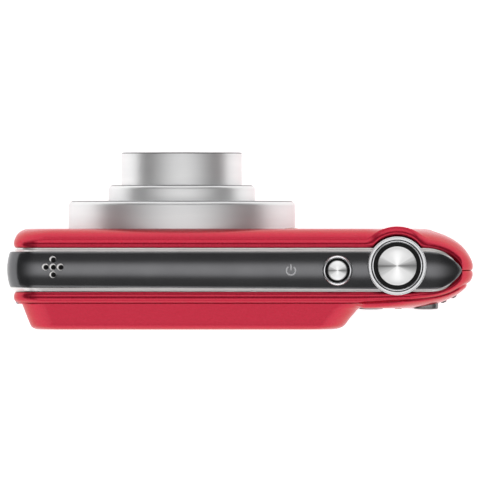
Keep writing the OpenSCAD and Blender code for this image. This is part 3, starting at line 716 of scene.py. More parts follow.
def shell_surface(shell, bury=None):
    """By station: columns of outer points, how far each is pushed in, and the points behind them."""
    columns, pushes, backs = [], [], []
    for station in shell.stations():
        edge, crease = shell.limits(station)
        column, push, back = [], [], []
        shrink = (shell.depth - WALL - edge) / (shell.depth - edge)
        width = crease - edge
        front_top = shell.side < 0 and station[0] == "top"

        def outer_point(y):
            """(x, z) at distance y; the point behind it, inside the wall, joins the back column."""
            inner_y = edge + (y - edge) * shrink
            bx, bz = shell.point(station, inner_y, WALL)
            back.append((bx, inner_y, bz))
            return shell.point(station, y)

        for t in bead_rows():
            y = mix(edge, crease, t)
            x, z = outer_point(y)
            if front_top:
                outer = soft_max(crease, round_shutter(x, SHUTTER_BEAD_R), 0.9)
                inner = max(edge, round_shutter(x, SHUTTER_GAP_R))
                y = mix(inner, outer, t)
            column.append((x, y, z))
            from_edge, from_crease = t * width, (1 - t) * width
            roll = rolled(from_edge, 0.32)
            half = (from_edge + from_crease) / 2
            push.append(roll + BEAD_FALL * clamp(1 - from_edge / half) ** 2 +
                        shell.crease_fall * clamp(1 - from_crease / half) ** 2 +
                        shell.groove * math.exp(-(from_crease / 0.4) ** 2))
        first = math.asin(clamp((crease - shell.start) / (shell.depth - shell.start), -0.95, 0.97))
        for s in SLOPE_ROWS:
            y = shell.start + (shell.depth - shell.start) * math.sin(mix(first, math.pi / 2, s))
            x, z = outer_point(y)
            down = (shell.crease_fall + shell.groove) * math.exp(-(s / shell.step_share) ** 2)
            if bury:
                down += bury(station, x, s)
            if front_top:
                outer = soft_max(crease, round_shutter(x, SHUTTER_BEAD_R), 0.9)
                y = mix(outer, shell.depth, (y - crease) / (shell.depth - crease))
            column.append((x, y, z))
            push.append(down)
        columns.append(column)
        pushes.append(push)
        backs.append(back)
    return columns, pushes, backs


def shell_object(name, shell, bury=None):
    columns, pushes, backs = shell_surface(shell, bury)
    n, rows = len(columns), len(columns[0])
    outer, inner = [], []
    for i in range(n):
        for j in range(rows):
            p = Vector(columns[i][j])
            along = Vector(columns[(i + 1) % n][0]) - Vector(columns[i - 1][0])
            side = Vector((-along.z, 0, along.x)).normalized()
            middle = Vector((clamp(p.x, SHELL_X0 + 10, SHELL_X1 - 8), 0, clamp(p.z, 10, SHELL_Z1 - 10)))
            if side.dot(p - middle) < 0:
                side = -side
            lean = 0.4 * smooth(j / (BEAD_COUNT - 1))
            outer.append(p - (side + Vector((0, lean, 0))).normalized() * pushes[i][j])
            inner.append(Vector(backs[i][j]))
    flip = shell.side
    verts = [(v.x, v.y * flip, v.z) for v in outer] + [(v.x, v.y * flip, v.z) for v in inner]
    base = n * rows
    faces = []
    for i in range(n):
        k = (i + 1) % n
        for j in range(rows - 1):
            faces.append((i * rows + j, k * rows + j, k * rows + j + 1, i * rows + j + 1))
            faces.append((base + i * rows + j, base + i * rows + j + 1, base + k * rows + j + 1,
                          base + k * rows + j))
        faces.append((i * rows, base + i * rows, base + k * rows, k * rows))
    faces.append(tuple(i * rows + rows - 1 for i in range(n)))
    faces.append(tuple(base + i * rows + rows - 1 for i in range(n - 1, -1, -1)))
    return raw_object(name, verts, faces, RED)


FRONT = Shell(
    side=-1, depth=FRONT_DEPTH, end_depth=12.5, top_depth=6.0, base_depth=4.1, side_start=5.5,
    side_depth=3.1, edge_top=4.62, edge_power=0.55, tongue_x=-38.0, crease_fall=0.05, groove=0.0,
    step_share=0.2, crease_end=2.9, crease_base=6.9,
    crease_points=[(-48, 2.75), (-47.2, 2.95), (-46.2, 3.85), (-44.3, 5.05), (-42, 6.05), (-37.5, 6.67)])
REAR = Shell(
    side=1, depth=REAR_DEPTH, end_depth=14.5, top_depth=3.0, base_depth=3.0, side_start=5.4,
    side_depth=2.4, edge_top=4.34, edge_power=0.6, tongue_x=-39.2, crease_fall=0.2, groove=0.14,
    step_share=0.05, crease_end=3.2, crease_base=6.8,
    crease_points=[(-48, 2.6), (-46.1, 3.2), (-43, 4.8), (-39, 5.75), (-33, 6.25), (-24, 6.8)])


def block(x, y, z):
    return [(x[i], y[j], z[k]) for i in (0, 1) for j in (0, 1) for k in (0, 1)], \
        [(0, 1, 3, 2), (4, 6, 7, 5), (0, 4, 5, 1), (2, 3, 7, 6), (0, 2, 6, 4), (1, 5, 7, 3)]


def block_cutter(x, y, z):
    return raw_object("cutter", *block(x, y, z), PAINTED_SHADE_BLACK)


BASE_OPENING_R = [1.2, 3.4, 3.4, 1.2]
KEY_FLANGE = 0.32
HINGE_LINE = (4.75, 0.66, 0.62)
KNUCKLES = [(-13.6, -10.6), (-31.0, -21.0), (-41.6, -38.4)]
DOOR_GAP_X0 = box_mm("battery_door")[0].x - 0.15
BASE_GAP_X1 = box_mm("base_plate")[1].x + 0.2


def base_form(x0, x1, half):
    """Block over the base opening, with rounded corners."""
    outline = rounded_loop(x0, x1, -half, half, BASE_OPENING_R)
    return raw_object("form", *skin([[(a, b, z) for a, b in outline] for z in (-1, 3)]), PAINTED_SHADE_BLACK)


def base_pieces():
    """Battery door and base plate with their outer corners rounded to follow the shells."""
    for node, name, body in (("battery_door", "rounded_battery_door", "battery_door"),
                             ("base_plate", "rounded_base_plate", "camera_body")):
        source = nodes[node]
        mesh = source.data.copy()
        mesh.transform(source.matrix_world)
        mesh.materials.clear()
        mesh.materials.append(BASE)
        o = bpy.data.objects.new(name, mesh)
        bpy.context.scene.collection.objects.link(o)
        low, high = box_mm(node)
        reach = BASE_GAP_X1 - 0.2 - DOOR_GAP_X0 - 0.15
        x0, x1 = (low.x, low.x + reach) if node == "battery_door" else (high.x - reach, high.x)
        boolean(o, [base_form(x0, x1, max(-low.y, high.y))], "INTERSECT")
        place(o, body, [node])


def front_shell():
    o = shell_object("red_front_shell", FRONT)
    face = -FRONT_DEPTH
    flash_low, flash_high = box_mm("flash_window")
    lamp = centre_mm("af_lamp")
    outside, inside, bevel = face - 2, face + 3, 0.25
    cutters = [
        cylinder_cutter(LENS_AXIS, SEAT_R, outside, inside),
        rounded_cutter((flash_low.x - FIT_GAP, flash_high.x + FIT_GAP),
                       (flash_low.z - FIT_GAP, flash_high.z + FIT_GAP), 0.9,
                       [(outside, bevel), (face, bevel), (face + bevel, 0.0), (inside, 0.0)]),
        cylinder_cutter((lamp.x, lamp.z), LAMP_HOLE_R, outside, inside, 0.2, face)]
    cutters += [cylinder_cutter(hole, 0.35, outside, inside, 0.12, face, 24) for hole in MIC_HOLES]
    cutters.append(base_form(DOOR_GAP_X0, BASE_GAP_X1, BASE_HALF))
    boolean(o, cutters)
    return place(o, "camera_body", ["front_shell"])


HOUSING_Y = [6.8, 11.0, 11.8, 12.2]
HOUSING_X1 = [44.9, 43.3, 42.8, 41.8]
HOUSING_Z0 = [2.2, 3.9, 4.3, 5.2]
HOUSING_Z1 = [56.3, 52.2, 51.4, 50.2]


def housing_form():
    """Raised housing behind the screen; its -X side flares into the shell in a concave curve."""
    rows = []
    flare = [(6.9, -25.4), (7.6, -24.9), (7.85, -24.35), (8.2, -23.95), (8.9, -23.4), (9.8, -22.6),
             (10.77, -21.9), (11.2, -21.55), (11.6, -21.1), (11.9, -20.5), (12.1, -19.7), (12.17, -18.9)]
    for y, x0 in flare:
        x1 = through(list(zip(HOUSING_Y, HOUSING_X1)), y)
        z0 = through(list(zip(HOUSING_Y, HOUSING_Z0)), y)
        z1 = through(list(zip(HOUSING_Y, HOUSING_Z1)), y)
        rows.append([(a, y, b) for a, b in rounded_loop(x0, x1, z0, z1, [5, 5, 5, 5], 10)])
    inside = [(a, 6.2, b) for a, _, b in rows[0]]
    return raw_object("housing", *skin([inside] + rows), RED)


def under_housing(station, x, s):
    """How far the shell's slope drops away under the housing, beyond the crease."""
    kind = station[0]
    if kind in ("end", "low_end"):
        return 0.0
    cover = smooth((x + 25.6) / 1.6)
    return cover * 0.9 * smooth(s / 0.25)


KEYS = ("wide_key", "tele_key", "menu_key", "delete_key")
PAD = (centre_mm("dpad").x, centre_mm("dpad").z)
PAD_HOLE_R = 8.55
LED_HOLE_R = 0.8
KEY_CAP = (2.55, 2.1)
KEY_HOLE = (2.7, 2.25)
CAVITY = ((-21.5, 41.9), (5.3, 50.6))
STRAP_POCKET_AT = (45.9, 6.9)
STRAP_POCKET_R = 1.5
STRAP_POCKET_Z = (44.6, 49.4)


def spans_about(node, half):
    """X and Z spans of half sizes about the middle of a node."""
    low, high = box_mm(node)
    mid_x, mid_z = (low.x + high.x) / 2, (low.z + high.z) / 2
    return (mid_x - half[0], mid_x + half[0]), (mid_z - half[1], mid_z + half[1])


def rear_shell():
    o = shell_object("red_rear_shell", REAR, under_housing)
    behind_strap = raw_object("form", *block((43.2, 45.2), (4.9, 6.6), (42.4, 51.6)), RED)
    boolean(o, [housing_form(), behind_strap], "UNION")
    low, high = box_mm("lcd_window")
    x = (low.x - FIT_GAP, high.x + FIT_GAP)
    z = (low.z - FIT_GAP, high.z + FIT_GAP)
    crest, face = HOUSING_Y[-1], REAR_DEPTH
    cutters = [
        rounded_cutter(*CAVITY, 3.0, [(3.0, 0.0), (10.75, 0.0)]),
        rounded_cutter((x[0] + 1.4, x[1] - 1.4), (z[0] + 0.8, z[1] - 0.8), 1.0, [(9.0, 0.0), (11.5, 0.0)]),
        rounded_cutter(x, z, 1.5, [(11.2, 0.0), (crest - 0.3, 0.0), (crest + 0.05, 0.3), (crest + 2, 0.3)])]
    for node in KEYS:
        a, b = box_mm(node)
        room, bevel = 0.15, 0.17
        rows = [(4, 0.0), (face - 0.15, 0.0), (face + 0.02, bevel), (face + 2, bevel)]
        cutters.append(rounded_cutter(*spans_about(node, KEY_HOLE), 2.05, rows))
        cutters.append(rounded_cutter((a.x - room, b.x + room), (a.z - room, b.z + room), 2.0,
                                      [(3.0, 0.0), (a.y + KEY_FLANGE + 0.1, 0.0)]))
    cutters.append(cylinder_cutter(PAD, PAD_HOLE_R, 4, face + 2, 0.3, face))
    led = centre_mm("status_led")
    cutters.append(cylinder_cutter((led.x, led.z), LED_HOLE_R, 4, face + 2, 0.12, face, 32))
    cutters.append(base_form(DOOR_GAP_X0, BASE_GAP_X1, BASE_HALF))
    z0, z1 = STRAP_POCKET_Z
    pocket = filleted([(0, z0, 0), (STRAP_POCKET_R, z0, 0.3), (STRAP_POCKET_R, z1, 0.3), (0, z1, 0)])
    cutters.append(lathe("cutter", pocket, STRAP_POCKET_AT, "up", PAINTED_SHADE_BLACK, 40))
    boolean(o, cutters)
    y, z, radius = HINGE_LINE
    knuckles = []
    for x0, x1 in KNUCKLES:
        rings = ((x0, radius - 0.1), (x0 + 0.1, radius), (x1 - 0.1, radius), (x1, radius - 0.1))
        loops = [[(x, y + r * math.cos(math.pi * k / 16), z + r * math.sin(math.pi * k / 16))
                  for k in range(32)] for x, r in rings]
        knuckles.append(raw_object("knuckle", *skin(loops), RED))
        knuckles.append(raw_object("web", *block((x0 + 0.05, x1 - 0.05), (y - 0.3, 5.9), (1.0, 1.7)), RED))
    boolean(o, knuckles, "UNION")
    return place(o, "camera_body", ["rear_shell"])


# ---------------------------------------------------------------- band and frame

BAND_CORNERS = [7.0, 9.5]
BASE_CORNER = 5.0
STRAIGHT_X = -38.0


def tongue_share(x, shell, tip):
    """How much of the straight width is left at x, towards the tongue's tip."""
    s = clamp((shell.tongue_x - x) / (shell.tongue_x - tip))
    return (1 - s * s) ** shell.edge_power


def band_path(inset, x_tip, x_foot):
    """Points (x, z, share, nx, nz) from the tongue's tip over the top and down the +X side to the base.

    share runs from 0 at the tip to 1 where the tongue's edges are straight."""
    top, side = BAND_TOP, BAND_X1
    out = []
    left = SHELL_X0 + BAND_CORNERS[1]
    r = BAND_CORNERS[1] - inset
    reach = STRAIGHT_X - x_tip
    for k in range(34):
        u = math.pi / 2 * k / 34
        x = STRAIGHT_X - reach * math.cos(u)
        sine = clamp((left - x) / r, -1, 1)
        a = math.asin(sine) if sine > 0 else 0.0
        out.append((x, top - BAND_CORNERS[1] + r * math.cos(a), math.sin(u), -math.sin(a), math.cos(a)))
    right = side - BAND_CORNERS[0]
    count = 100
    for k in range(count):
        x = mix(STRAIGHT_X, right, k / count)
        a = math.asin(clamp((left - x) / r)) if x < left else 0.0
        out.append((x, top - BAND_CORNERS[1] + r * math.cos(a), 1.0, -math.sin(a), math.cos(a)))
    r = BAND_CORNERS[0] - inset
    for k in range(17):
        a = math.pi / 2 * k / 16
        out.append((right + r * math.sin(a), top - BAND_CORNERS[0] + r * math.cos(a), 1.0, math.sin(a),
                    math.cos(a)))
    for k in range(1, 30):
        z = mix(top - BAND_CORNERS[0], BASE_CORNER, k / 30)
        out.append((side - inset, z, 1.0, 1.0, 0.0))
    r = BASE_CORNER - inset
    for k in range(13):
        a = math.pi / 2 * k / 12
        x = side - BASE_CORNER + r * math.cos(a)
        if x < x_foot:
            break
        out.append((x, BASE_CORNER - r * math.sin(a), 1.0, math.cos(a), -math.sin(a)))
    return out


BAND_TIP = TONGUE_TIP + 0.25


def band_edges(x):
    """Front and rear edge of the band at x."""
    rear = mix(3.88, 3.4, clamp((x + 38) / 84))
    return -3.9 * tongue_share(x, FRONT, BAND_TIP), rear * tongue_share(x, REAR, BAND_TIP)


CROWN = 0.62
END_SCREWS_Z = (34, 50)
VENT_R = 0.52
VENT_MIDDLE = (38.35, -0.64)
VENT_PITCH = 1.53
VENTS = [(VENT_MIDDLE[0] + VENT_PITCH * i, VENT_MIDDLE[1] + VENT_PITCH * j)
         for i, j in ((-1, 0), (0, 0), (1, 0), (0, -1), (0, 1))]


def crown_fall(x, y):
    """How far the band's crowned top lies under its crest."""
    front, rear = band_edges(x)
    return CROWN * (2 * (y - front) / (rear - front) - 1) ** 2


def band():
    loops = []
    across = [0, 0.012, 0.04, 0.09, 0.16, 0.25, 0.36, 0.5, 0.64, 0.75, 0.84, 0.91, 0.96, 0.988, 1.0]
    thickness = 0.85
    for x, z, share, nx, nz in band_path(0.0, BAND_TIP, 43.05):
        front, rear = band_edges(x)
        width = max(rear - front, 0.02)
        edge = min(0.22, width / 3)
        loop = []
        for q in across:
            y = mix(front, rear, q)
            down = rolled(min(q, 1 - q) * width, edge) + CROWN * (2 * q - 1) ** 2 * share
            loop.append((x - nx * down, y, z - nz * down))
        under_front = (x - nx * (thickness + CROWN), front, z - nz * (thickness + CROWN))
        under_rear = (x - nx * (thickness + CROWN), rear, z - nz * (thickness + CROWN))
        loops.append(loop + [under_rear, under_front])
    o = raw_object("crowned_band", *skin(loops), BAND)
    cutters = [bore_down(vent, VENT_R, 3, 1, 32) for vent in VENTS]
    cutters += [bore_down(SHUTTER, 6.08, 3, 2, 96), bore_down(POWER, 3.09, 3, 2, 64)]
    low, high = box_mm("port_cover")
    outline = rounded_loop(low.y - FIT_GAP, high.y + FIT_GAP, low.z - FIT_GAP * 2, high.z + FIT_GAP, 0.15)
    cutters.append(raw_object("cutter", *skin([[(x, y, z) for y, z in outline] for x in (42, 50)]), PAINTED_SHADE_BLACK))
    for z in END_SCREWS_Z:
        cutters.append(lathe("cutter", [(0, 44), (1.5, 44), (1.5, 49), (0, 49)], (0, z), "side", PAINTED_SHADE_BLACK, 32))
    boolean(o, cutters)
    return place(o, "camera_body", ["top_band"], 28)


def vent_rims_painted_highlight():
    """Silver rings round the speaker holes, set off-centre towards +X and -Y so the wider side of each
    crescent is a painted highlight.
    """
    rims = []
    for x, y in VENTS:
        z = BAND_TOP - crown_fall(x, y)
        loops = []
        for k in range(32):
            a = 2 * math.pi * k / 32
            c, s = math.cos(a), math.sin(a)
            hole = (x + VENT_R * c, y + VENT_R * s)
            # the rim circle is shifted 0.13 towards +X and 0.08 towards -Y of the hole: painted highlight on
            # that side
            rim = (x + 0.13 + 0.72 * c, y - 0.08 + 0.72 * s)
            mid = (mix(hole[0], rim[0], 0.5), mix(hole[1], rim[1], 0.5))
            loops.append([(*hole, z - 0.5), (*rim, z - 0.5), (*rim, z - 0.01), (*mid, z + 0.05),
                          (*hole, z + 0.02)])
        rims.append(raw_object("rim", *skin(loops, closed_ring=True), SILVER))
    o = joined("speaker_hole_rims_painted_highlight", rims)
    place(o, "camera_body", angle=50)


def side_frame():
    """Silver frame under the band; it shows as a narrow line on both sides, bevelled at the +X side.

    A lip reaches under the edges of both shells, meant to keep the gaps beside the frame dark."""
    loops = []
    tip = TONGUE_TIP + 0.03
    for x, z, _, nx, nz in band_path(0.0, tip, 43.3):
        front = -4.33 * tongue_share(x, FRONT, tip)
        rear = mix(4.14, 4.29, clamp((x + 38) / 84)) * tongue_share(x, REAR, tip)
        width = max(rear - front, 0.02)
        edge = min(0.18, width / 4)
        outward = smooth(nx)
        high = mix(0.8, 0.6, outward)
        low = mix(1.0, 1.5, outward)
        inner_line = min(0.72, width / 3)
        deep = 2.3
        lip = 0.55 * min(1, width)
        half = [(-lip, deep), (-lip, deep - 0.3), (0, deep - 0.3), (0, low + edge),
                (edge * 0.3, low + edge * 0.3), (edge, low), (inner_line, high),
                (inner_line + 0.35 * min(1, width), high + 0.25)]
        loop = [(front + a, d) for a, d in half] + [(rear - a, d) for a, d in reversed(half)]
        loops.append([(x - nx * d, y, z - nz * d) for y, d in loop])
    o = raw_object("bevelled_side_frame", *skin(loops), SILVER)
    cutters = [bore_down(SHUTTER, 6.06, 5, 2, 64), bore_down(POWER, 3.07, 5, 2, 64)]
    cutters += [bore_down(vent, 0.6, 5, 1, 24) for vent in VENTS]
    low, high = box_mm("port_cover")
    cutters.append(block_cutter((44, 50), (low.y - 0.1, high.y + 0.1), (low.z - 0.2, high.z + 0.1)))
    boolean(o, cutters)
    return place(o, "camera_body", ["mid_frame"], 25)


# ---------------------------------------------------------------- lens


def lens_pieces():
    axis = LENS_AXIS
    ring_r, ring_front = 23.4, -box_mm("lens_base_ring")[0].y
    outer_r, outer_front = 15.15, -box_mm("outer_barrel")[0].y
    inner_r, inner_front = 12.45, -box_mm("inner_barrel")[0].y
    body_face = FRONT_DEPTH
    rim = 0.34
    pocket = -box_mm("cam_ring")[0].y + 0.12
    profile = filleted([
        (22.2, body_face, 0.1), (ring_r, body_face, 0.0), (ring_r, ring_front, 0.95),
        (15.45 + 1.2, ring_front, 0.5), (15.45, ring_front - 0.75, 0.1), (15.45, pocket, 0.0),
        (22.2, pocket, 0.0)], 10)
    base = lathe("stepped_base_ring", profile, axis, "front", [LENS, LENS_DARK], 144,
                 [((ring_r - 0.75, ring_r, ring_front - 0.2, ring_front + 1), 1)])
    place(base, "camera_body", ["lens_base_ring"], 24)

    def barrel(name, node, body, radius, front, back_points, bore):
        corners = [(bore, front - rim, 0.0), (bore + 0.35, front, 0.15), (radius, front, 0.85), *back_points]
        o = lathe(name, filleted(corners, 10), axis, "front", [LENS, LENS_DARK], 128,
                  [((radius - 0.7, radius, front - 0.2, front + 1), 1),
                   ((0, radius - 0.4, 0, front - 1.0), 1)])
        return place(o, body, [node], 24)

    barrel("grooved_outer_barrel", "outer_barrel", "outer_barrel", outer_r, outer_front,
           [(outer_r, 6.6, 0.2), (6.0, 6.6, 0.1), (6.0, 8.5, 0.1), (13.9, 8.5, 0.3),
            (13.9, outer_front - 1.6, 0.2), (12.7, outer_front - 1.4, 0.1)], 12.7)
    barrel("grooved_inner_barrel", "inner_barrel", "inner_barrel", inner_r, inner_front,
           [(inner_r, 15.8, 0.1), (13.7, 15.8, 0.1), (13.7, 15.0, 0.1), (11.5, 15.0, 0.1),
            (11.5, 19.8, 0.2), (5.45, 19.8, 0.1), (5.45, 23.15, 0.1), (11.5, 23.15, 0.0)], 11.5)
    bezel = filleted([(5.2, 23.6, 0.05), (11.46, 23.6, 0.05), (11.46, 24.2, 0.12), (10.4, 24.2, 0.05),
                    (10.3, 24.05, 0.0), (10.1, 24.05, 0.0), (10.0, 24.2, 0.05), (7.6, 24.14, 0.2),
                    (6.9, 23.9, 0.1), (6.6, 23.95, 0.05), (5.6, 23.85, 0.1)], 4)
    o = lathe("stepped_lens_bezel", bezel, axis, "front", LENS_DARK, 96)
    place(o, "inner_barrel", ["lens_bezel"], 24)


# ---------------------------------------------------------------- top buttons


def round_size(node):
    """Radius, lowest and highest z of an upright round node."""
    low, high = box_mm(node)
    return (high.x - low.x) / 2, low.z, high.z


def stepped(outer, top, steps):
    """Corners from (inward, down, rounding) steps off the outer top edge."""
    return [(outer - inward, top - down, rounding) for inward, down, rounding in steps]


def bezel(node, centre, materials, sides, steps, dish, bore, bands):
    """Ring round a button: steps over its rim, then a dish of (radius, height) down to the bore."""
    outer, low, top = round_size(node)
    corners = [(outer, low, 0.0), *stepped(outer, top, steps), (dish[0], low + dish[1], 0.05),
               (bore, low + dish[1], 0.0), (bore, low, 0.0)]
    o = lathe("ringed_" + node, filleted(corners, 4), centre, "up", materials, sides, bands(outer, top))
    place(o, "camera_body", [node], 24)


def button(node, centre, material, sides, face, steps, stem_r, skirt):
    """Dished button: (share of the radius, down) points of the face, steps at the edge, and a stem."""
    radius, low, top = round_size(node)
    corners = [(radius * share, top - down, 0.0) for share, down in face] + stepped(radius, top, steps)
    corners += [(stem_r, top - skirt[0], skirt[1]), (stem_r, low, skirt[1]), (0, low, 0.0)]
    o = lathe("dished_" + node, filleted(corners, 4), centre, "up", [material, PAINTED_SHADE_BLACK], sides,
              [((0, radius + 1, 0, top - skirt[2]), 1)])
    place(o, node, [node], 24)


def button_pieces():
    # the bezels' dishes under the buttons and the groove in the shutter bezel's step are near-black painted
    # shade
    bezel("shutter_bezel", SHUTTER, [CHROME, PAINTED_SHADE_BLACK, RING], 128,
          [(0, 0.42, 0.15), (0.2, 0.2, 0.12), (0.64, 0.2, 0.04), (0.7, 0.3, 0.0), (0.82, 0.3, 0.0),
           (0.88, 0.06, 0.08), (0.98, 0, 0.06), (1.14, 0.04, 0.06), (1.23, 0.35, 0.05)],
          (4.79, 0.2), 1.9,
          lambda outer, top: [((outer - 0.68, outer + 0.1, 0, top + 1), 2), ((0, 4.86, 0, top - 0.3), 1),
                              ((outer - 0.8, outer - 0.72, 0, top - 0.28), 1)])
    button("shutter_button", SHUTTER, SPUN_PAINTED_SHEEN, 128, [(0, 0.16), (0.35, 0.145), (0.7, 0.085)],
           [(0.28, 0.02, 0.05), (0.12, 0, 0.05), (0, 0.14, 0.08), (0, 0.7, 0.1)], 1.67, (0.72, 0.1, 0.5))
    bezel("power_bezel", POWER, [CHROME, PAINTED_SHADE_BLACK], 96,
          [(0, 0.3, 0.1), (0.16, 0.08, 0.08), (0.3, 0, 0.06), (0.45, 0.04, 0.06), (0.6, 0.25, 0.05)],
          (2.36, 0.25), 1.0, lambda outer, top: [((0, 2.42, 0, top - 0.2), 1)])
    button("power_button", POWER, SPUN_SMALL_PAINTED_SHEEN, 96, [(0, 0.12), (0.5, 0.08)],
           [(0.16, 0, 0.05), (0, 0.12, 0.06), (0, 0.5, 0.05)], 0.8, (0.53, 0.05, 0.35))


def springs():
    """Conical springs under the two buttons."""
    turns, steps, sides = 2.0, 44, 12
    for node, button, joint, travel, wire, taper in (
            ("shutter_spring", "shutter_button", "shutter_press", 0.5, 0.1, 0.58),
            ("power_spring", "power_button", "power_press", 0.3, 0.08, 0.6)):
        low, high = box_mm(node)
        axis = centre_mm(button)
        wide = max(axis.x - low.x, high.x - axis.x) - wire
        loops = []
        for k in range(int(turns * steps) + 1):
            t = k / (turns * steps)
            a, radius = 2 * math.pi * k / steps, mix(wide, wide * taper, t)
            z = mix(low.z + wire, high.z - wire, clamp((t - 0.12) / 0.76))
            loops.append([((radius + wire * math.cos(b)) * math.cos(a) + axis.x,
                           (radius + wire * math.cos(b)) * math.sin(a) + axis.y, z + wire * math.sin(b))
                          for b in (2 * math.pi * j / sides for j in range(sides))])
        o = raw_object("coiled_" + node, *skin(loops), SPRING)
        place(o, "camera_body", [node], 60)
        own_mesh(o)


def flash_window():
    """Clear window with upright ribs that spread the light."""
    low, high = box_mm("flash_window")
    flanks = 48
    ribs = [(mix(low.x + 0.5, high.x - 0.5, k / flanks), low.y + 0.02 + 0.13 * (k % 2))
            for k in range(flanks + 1)]
    outline = [(low.x, high.y), (low.x, low.y + 0.12), (low.x + 0.12, low.y), *ribs,
               (high.x - 0.12, low.y), (high.x, low.y + 0.12), (high.x, high.y)]
    loops = [[(x, y, z) for x, y in outline] for z in (low.z, high.z)]
    o = raw_object("ribbed_flash_window", *skin(loops), DIFFUSER)
    form = [grown_loop((low.x, high.x), (low.z, high.z), 0.6, y) for y in (low.y - 1, high.y + 1)]
    boolean(o, [raw_object("form", *skin(form), DIFFUSER)], "INTERSECT")
    place(o, "camera_body", ["flash_window"], 20)


def standby_symbol():
    """Generic power symbol printed beside the power button: a broken ring and a bar."""
    centre = Vector((-10.4, 0.0))
    radius, stroke, lift = 0.92, 0.26, 0.012

    verts, faces = [], []

    def ribbon(points, half):
        start = len(verts)
        for i, p in enumerate(points):
            a, b = points[max(0, i - 1)], points[min(len(points) - 1, i + 1)]
            along = (b - a).normalized()
            side = Vector((-along.y, along.x)) * half
            for q, rise in ((p + side, lift), (p - side, lift), (p - side, -0.03), (p + side, -0.03)):
                verts.append((q.x, q.y, BAND_TOP - crown_fall(centre.x, q.y) + rise))
        for i in range(len(points) - 1):
            s = start + 4 * i
            for j in range(4):
                faces.append((s + j, s + (j + 1) % 4, s + 4 + (j + 1) % 4, s + 4 + j))
        faces.append((start, start + 1, start + 2, start + 3))
        end = start + 4 * (len(points) - 1)
        faces.append((end + 3, end + 2, end + 1, end))

    gap = 38
    ring = [centre + radius * Vector((math.sin(math.radians(a)), -math.cos(math.radians(a))))
            for a in range(gap, 361 - gap, 6)]
    ribbon(ring, stroke / 2)
    ribbon([centre + Vector((0, -1.25 + 0.1 * k)) for k in range(13)], stroke / 2)
    o = raw_object("standby_symbol", verts, faces, PRINT)
    place(o, "camera_body")


# ---------------------------------------------------------------- rear controls


def rear_pieces():
    for node in KEYS:
        low, high = box_mm(node)
        cap = slab(*spans_about(node, KEY_CAP), 1.9, (5.95, high.y), (0.0, 0.35), 5, 0.12)
        key = raw_object("crowned_" + node, *cap, KEY)
        flange = raw_object("flange", *slab((low.x, high.x), (low.z, high.z), 2.1, (low.y, low.y + 0.35),
                                            (0.0, 0.1)), KEY)
        key = joined("crowned_" + node, [key, flange])
        place(key, node, [node], 28)
    low, high = box_mm("dpad")
    ring = filleted([(8.28, low.y, 0.1), (8.28, high.y - 0.45, 0.35), (7.6, high.y, 0.3),
                     (6.2, high.y - 0.1, 0.4), (4.6, high.y - 0.55, 0.3), (4.1, high.y - 0.5, 0.12),
                     (3.9, high.y - 0.7, 0.1), (3.9, low.y, 0.1)], 5)
    pad = lathe("dished_four_way_pad", [(r, -y) for r, y in ring], PAD, "front", KEY, 96)
    dots = []
    for k in range(4):
        a = math.radians(90 * k)
        x, z = PAD[0] + 6.35 * math.cos(a), PAD[1] + 6.35 * math.sin(a)
        dot = [(0, -9.0), (0.32, -9.0), (0.32, 0.25 - high.y), (0, 0.35 - high.y)]
        dots.append(lathe("cutter", dot, (x, z), "front", PAINTED_SHADE_BLACK, 20))
    boolean(pad, dots)
    place(pad, "dpad", ["dpad"], 26)
    low, high = box_mm("ok_key")
    r = (high.x - low.x) / 2
    ok = filleted([(0, low.y, 0.0), (r, low.y, 0.05), (r, high.y - 0.1, 0.28), (r * 0.55, high.y - 0.16, 0.3),
                 (0, high.y - 0.2, 0.0)], 5)
    o = lathe("dished_ok_key", [(a, -b) for a, b in ok], PAD, "front", KEY, 72)
    place(o, "ok_key", ["ok_key"], 26)
    low, high = box_mm("lcd_window")
    plate = slab((low.x, high.x), (low.z, high.z), 1.5, (low.y, high.y), (0.0, 0.18), 4)
    pane = raw_object("bevelled_screen_window", *plate, SCREEN)
    place(pane, "camera_body", ["lcd_window"], 24)


def grip_dots():
    dots = []
    for k in range(4):
        for x in (-42.0, -44.1):
            t = (x - SHELL_X0 - REAR.end_depth) / REAR.end_depth
            y = REAR_DEPTH * math.sqrt(1 - t * t)
            normal = Vector((t / REAR.end_depth, math.sqrt(1 - t * t) / REAR_DEPTH, 0)).normalized()
            side = Vector((0, 0, 1))
            across = side.cross(normal)
            profile = [(0.0, -0.7), (0.6, -0.7), (0.6, 0.08), (0.54, 0.22), (0.4, 0.31), (0.22, 0.35),
                       (0.0, 0.36)]
            loops = []
            base = Vector((x, y, 20.0 + 5 * k))
            for i in range(24):
                a = 2 * math.pi * i / 24
                out = across * math.cos(a) + side * math.sin(a)
                loops.append([tuple(base + out * r + normal * h) for r, h in profile])
            dots.append(raw_object("dot", *skin(loops, closed_ring=True), RUBBER))
    o = joined("domed_thumb_grips", dots)
    place(o, "camera_body", ["thumb_grips"], 40)


# ---------------------------------------------------------------- carried-over CAD nodes

NODE_MATERIALS = {
    "door_latch": BASE, "door_pin": STEEL, "tripod_bush": BRASS,
    "case_screws": STEEL, "strap_lug": STEEL, "port_cover": BAND, "usb_socket": STEEL,
    "top_board": BOARD, "speaker": BLACK,
    "microphone": STEEL, "flash_unit": REFLECTOR, "flash_capacitor": SLEEVE,
    "af_lamp": AMBER, "lens_guide_tube": BLACK, "cam_ring": CAM, "zoom_motor": MOTOR, "zoom_pinion": BRASS,
    "barrier_blade_upper": LENS_DARK, "barrier_blade_lower": LENS_DARK, "front_lens": GLASS,
    "middle_lens": GLASS, "focus_carrier": BLACK, "focus_lens": GLASS, "focus_drive": STEEL,
    "image_sensor": SENSOR, "sensor_board": BOARD, "main_board": BOARD, "key_board": BOARD,
    "lcd_module": MODULE, "lcd_ribbon": RIBBON, "battery": WRAP, "battery_tray": BLACK, "sd_socket": STEEL,
    "dpad_rubber": RUBBER, "status_led": AMBER,
}


